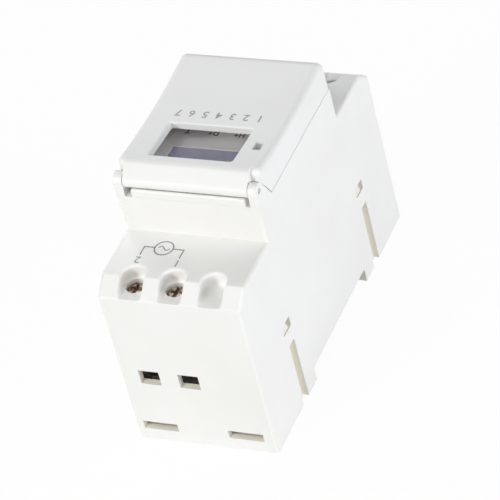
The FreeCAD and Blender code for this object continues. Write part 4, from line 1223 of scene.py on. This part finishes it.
class TIMER_OT_dress_components(bpy.types.Operator):
    """Parts that stand and lie on the two boards"""

    bl_idname = "timer.dress_components"
    bl_label = "Dress the components"

    moulded = {
        "relay": ("relay_plastic", (46, 92, 168), (34, 74, 146), 0.36, 5e-6),
        "line_capacitor": ("capacitor_plastic", (214, 186, 60), (196, 164, 46), 0.4, 8e-6),
        "varistor": ("varistor_resin", (30, 78, 136), (22, 60, 112), 0.35, 1.4e-5),
    }
    sleeve = ((34, 38, 58), (186, 190, 196), (198, 198, 196))
    banded = {
        "resistor": ("resistor_ceramic", (150, 176, 190), (120, 60, 30), (-1.6, -0.7, 0.2, 1.5), 0.5),
        "rectifier_diodes": ("diode_resin", (40, 40, 42), (190, 190, 188), (-5.2, 3.2), 0.8),
    }
    plated = {
        "crystal": ("can_metal", (198, 198, 196), (140, 138, 134), 0.22, (1, 6, 1), 0.2),
        "backup_battery": ("cell_metal", (190, 190, 188), (128, 126, 120), 0.24, (6, 1, 1), 0.3),
    }

    def execute(self, context):
        for node, (name, colour, shade, roughness, grain) in self.moulded.items():
            dress(node, moulded_plastic(name, tint(*colour), tint(*shade), roughness, grain))
        colours = (tint(*colour) for colour in self.sleeve)
        dress("filter_capacitors", capacitor_sleeve("capacitor_sleeve", "filter_capacitors", *colours))
        for node, (name, body, band, bands, width) in self.banded.items():
            places = [place * MM for place in bands]
            dress(node, banded_body(name, node, tint(*body), tint(*band), places, width * MM))
        for node, (name, colour, stain, roughness, brushed, share) in self.plated.items():
            dress(node, plated_metal(name, tint(*colour), tint(*stain), roughness, brushed, share))
        return {"FINISHED"}


class TIMER_OT_fit_clip(bpy.types.Operator):
    """Sliding rail clip with grip ribs on its tail, and the spring behind it"""

    bl_idname = "timer.fit_clip"
    bl_label = "Fit the rail clip"

    rib_pitch = 1.1 * MM
    rib_radius = 0.22 * MM
    rib_length = 9.0 * MM
    rib_start = 1.1 * MM
    rib_sides = 12
    spring_travel = 4.5 * MM
    smooth_under = 40

    def execute(self, context):
        use = context.scene.timer_boards
        case = context.scene.timer_case
        plastic = moulded_plastic("clip_plastic", case.base_shade, case.base_colour, 0.48, 6e-6)
        dress("din_clip", plastic)
        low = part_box("din_clip")[0]
        row = {"Pitch": self.rib_pitch, "Radius": self.rib_radius, "Length": self.rib_length}
        ribs = grown(bar_row_steps(), plastic, Bars=use.grip_ribs, Sides=self.rib_sides, **row)
        across = Matrix.Rotation(math.pi / 2, 4, "Z") @ Matrix.Rotation(math.pi / 2, 4, "X")
        y = low[1] + self.rib_start + use.grip_ribs * self.rib_pitch / 2
        ribs.transform(Matrix.Translation((centre_of("din_clip").x, y, low[2])) @ across)
        add_piece("clip_ribs", ribs, plastic, "din_clip")
        self.fit_spring()
        return {"FINISHED"}

    def fit_spring(self):
        """The spring as a smooth-shaded copy of its own coil, in place of the CAD one."""
        steel = plated_metal("spring_steel", tint(176, 176, 174), tint(96, 92, 88), 0.24, (1, 1, 1), 0.25)
        shape = bmesh.new()
        shape.from_mesh(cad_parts["clip_spring"].data)
        coil = mesh_from(shape, self.smooth_under)
        piece = add_piece("spring_coil", coil, steel)
        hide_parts("clip_spring")
        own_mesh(piece)


class TIMER_OT_set_stage(bpy.types.Operator):
    """White floor, soft lamps, even light and the camera"""

    bl_idname = "timer.set_stage"
    bl_label = "Set the stage"

    aim_height = 30 * MM
    lamp_distance = 1.4
    floor_gap = 0.05 * MM
    lamps = {
        "key": ("white", 0.35, (0.5, 0.85, 0.4)),
        "side": ("cool", 0.7, (-1.0, 0.1, 0.35)),
        "low": ("cool", 0.6, (-1.0, 0.1, 0.06)),
        "front": ("white", 0.5, (-0.35, 0.6, 0.6)),
        "upper": ("cool", 0.5, (0.2, 0.5, 0.9)),
        "back": ("cool", 0.8, (0.7, -0.8, 0.6)),
    }

    def seen_white(self, tree, shown, lit):
        """Shader that is one thing to the camera and to reflections, and another to other light."""
        path = tree.node("ShaderNodeLightPath")
        rays = {output.name: Signal(tree, output) for output in path.socket.node.outputs}
        seen = rays["Is Camera Ray"].larger(rays["Is Glossy Ray"]).larger(rays["Is Transmission Ray"])
        return tree.node("ShaderNodeMixShader", {}, {0: seen * shown[1], 1: lit, 2: shown[0]})

    def lamp(self, name, power, colour, size, direction):
        light = bpy.data.lights.new(name, "AREA")
        light.energy = power
        light.color = colour
        light.shape = "DISK"
        light.size = size
        lamp = bpy.data.objects.new(name, light)
        way = Vector(direction).normalized()
        lamp.location = Vector((0, 0, self.aim_height)) + way * self.lamp_distance
        lamp.rotation_euler = way.to_track_quat("Z", "Y").to_euler()
        bpy.context.scene.collection.objects.link(lamp)

    def floor(self, use):
        paper = Finish("floor_paper")
        fibre = paper.grain(30 * MM, 3.0)
        tone = paper.mixed(fibre * 0.3, (0.9, 0.9, 0.9), (0.86, 0.86, 0.86))
        lit = paper.node("ShaderNodeBsdfDiffuse", {}, {"Color": tone})
        white = paper.node("ShaderNodeEmission", {}, {"Color": (1, 1, 1), "Strength": 1.0})
        surface = self.seen_white(paper, (white, use.floor_white), lit)
        paper.node("ShaderNodeOutputMaterial", {}, {"Surface": surface})
        half = use.floor_size / 2
        corners = [(x * half, y * half, -self.floor_gap) for x, y in ((-1, -1), (1, -1), (1, 1), (-1, 1))]
        mesh = bpy.data.meshes.new("floor")
        mesh.from_pydata(corners, [], [(0, 1, 2, 3)])
        mesh.materials.append(paper.material)
        floor = bpy.data.objects.new("floor", mesh)
        bpy.context.scene.collection.objects.link(floor)

    def world(self, use):
        world = bpy.data.worlds.new("studio")
        bpy.context.scene.world = world
        world.use_nodes = True
        sky = Tree(world.node_tree)
        world.node_tree.nodes.clear()
        even = sky.node("ShaderNodeBackground", {}, {"Color": (1, 1, 1), "Strength": use.sky})
        white = sky.node("ShaderNodeBackground", {}, {"Color": (1, 1, 1), "Strength": 1.0})
        sky.node("ShaderNodeOutputWorld", {}, {"Surface": self.seen_white(sky, (white, 1.0), even)})

    def camera(self, use):
        right, up = Vector(use.camera_right), Vector(use.camera_up)
        back = right.cross(up).normalized()
        turn = Matrix((right, up, back)).transposed().to_4x4()
        data = bpy.data.cameras.new("camera")
        data.sensor_width = 36
        data.lens = use.lens
        data.clip_start, data.clip_end = 0.01, 20
        camera = bpy.data.objects.new("camera", data)
        camera.matrix_world = Matrix.Translation(use.camera_place) @ turn
        bpy.context.scene.collection.objects.link(camera)
        bpy.context.scene.camera = camera

    def execute(self, context):
        use = context.scene.timer_stage
        context.scene.view_settings.view_transform = "Standard"
        self.floor(use)
        self.world(use)
        colours = {"white": (1, 1, 1), "cool": use.cool}
        for name, (colour, size, direction) in self.lamps.items():
            self.lamp(f"{name}_lamp", getattr(use, f"{name}_power"), colours[colour], size, direction)
        self.camera(use)
        return {"FINISHED"}


class TIMER_PT_parts(bpy.types.Panel):
    """Lists the timer switch's operators"""

    bl_idname = "TIMER_PT_parts"
    bl_label = "Timer switch"
    bl_space_type = "VIEW_3D"
    bl_region_type = "UI"
    bl_category = "Timer switch"

    def draw(self, context):
        for operator in OPERATORS:
            self.layout.operator(operator.bl_idname)


SETTINGS = {
    "timer_case": CaseSettings,
    "timer_print": PrintSettings,
    "timer_display": DisplaySettings,
    "timer_panel": PanelSettings,
    "timer_terminals": TerminalSettings,
    "timer_boards": BoardSettings,
    "timer_stage": StageSettings,
}

OPERATORS = (
    TIMER_OT_set_stage,
    TIMER_OT_dress_case,
    TIMER_OT_dress_lid,
    TIMER_OT_print_lid,
    TIMER_OT_print_supply,
    TIMER_OT_print_contact,
    TIMER_OT_dress_panel,
    TIMER_OT_fit_display,
    TIMER_OT_dress_lamp,
    TIMER_OT_fit_terminal_screws,
    TIMER_OT_dress_terminals,
    TIMER_OT_dress_boards,
    TIMER_OT_fit_link,
    TIMER_OT_dress_components,
    TIMER_OT_fit_clip,
)


def register():
    for kind in (*SETTINGS.values(), *OPERATORS, TIMER_PT_parts):
        bpy.utils.register_class(kind)
    for name, group in SETTINGS.items():
        setattr(bpy.types.Scene, name, PointerProperty(type=group))


def unregister():
    for name in SETTINGS:
        delattr(bpy.types.Scene, name)
    for kind in (TIMER_PT_parts, *reversed(OPERATORS), *reversed(SETTINGS.values())):
        bpy.utils.unregister_class(kind)


def main():
    register()
    for operator in OPERATORS:
        group, name = operator.bl_idname.split(".")
        getattr(getattr(bpy.ops, group), name)()


if __name__ == "__main__":
    main()
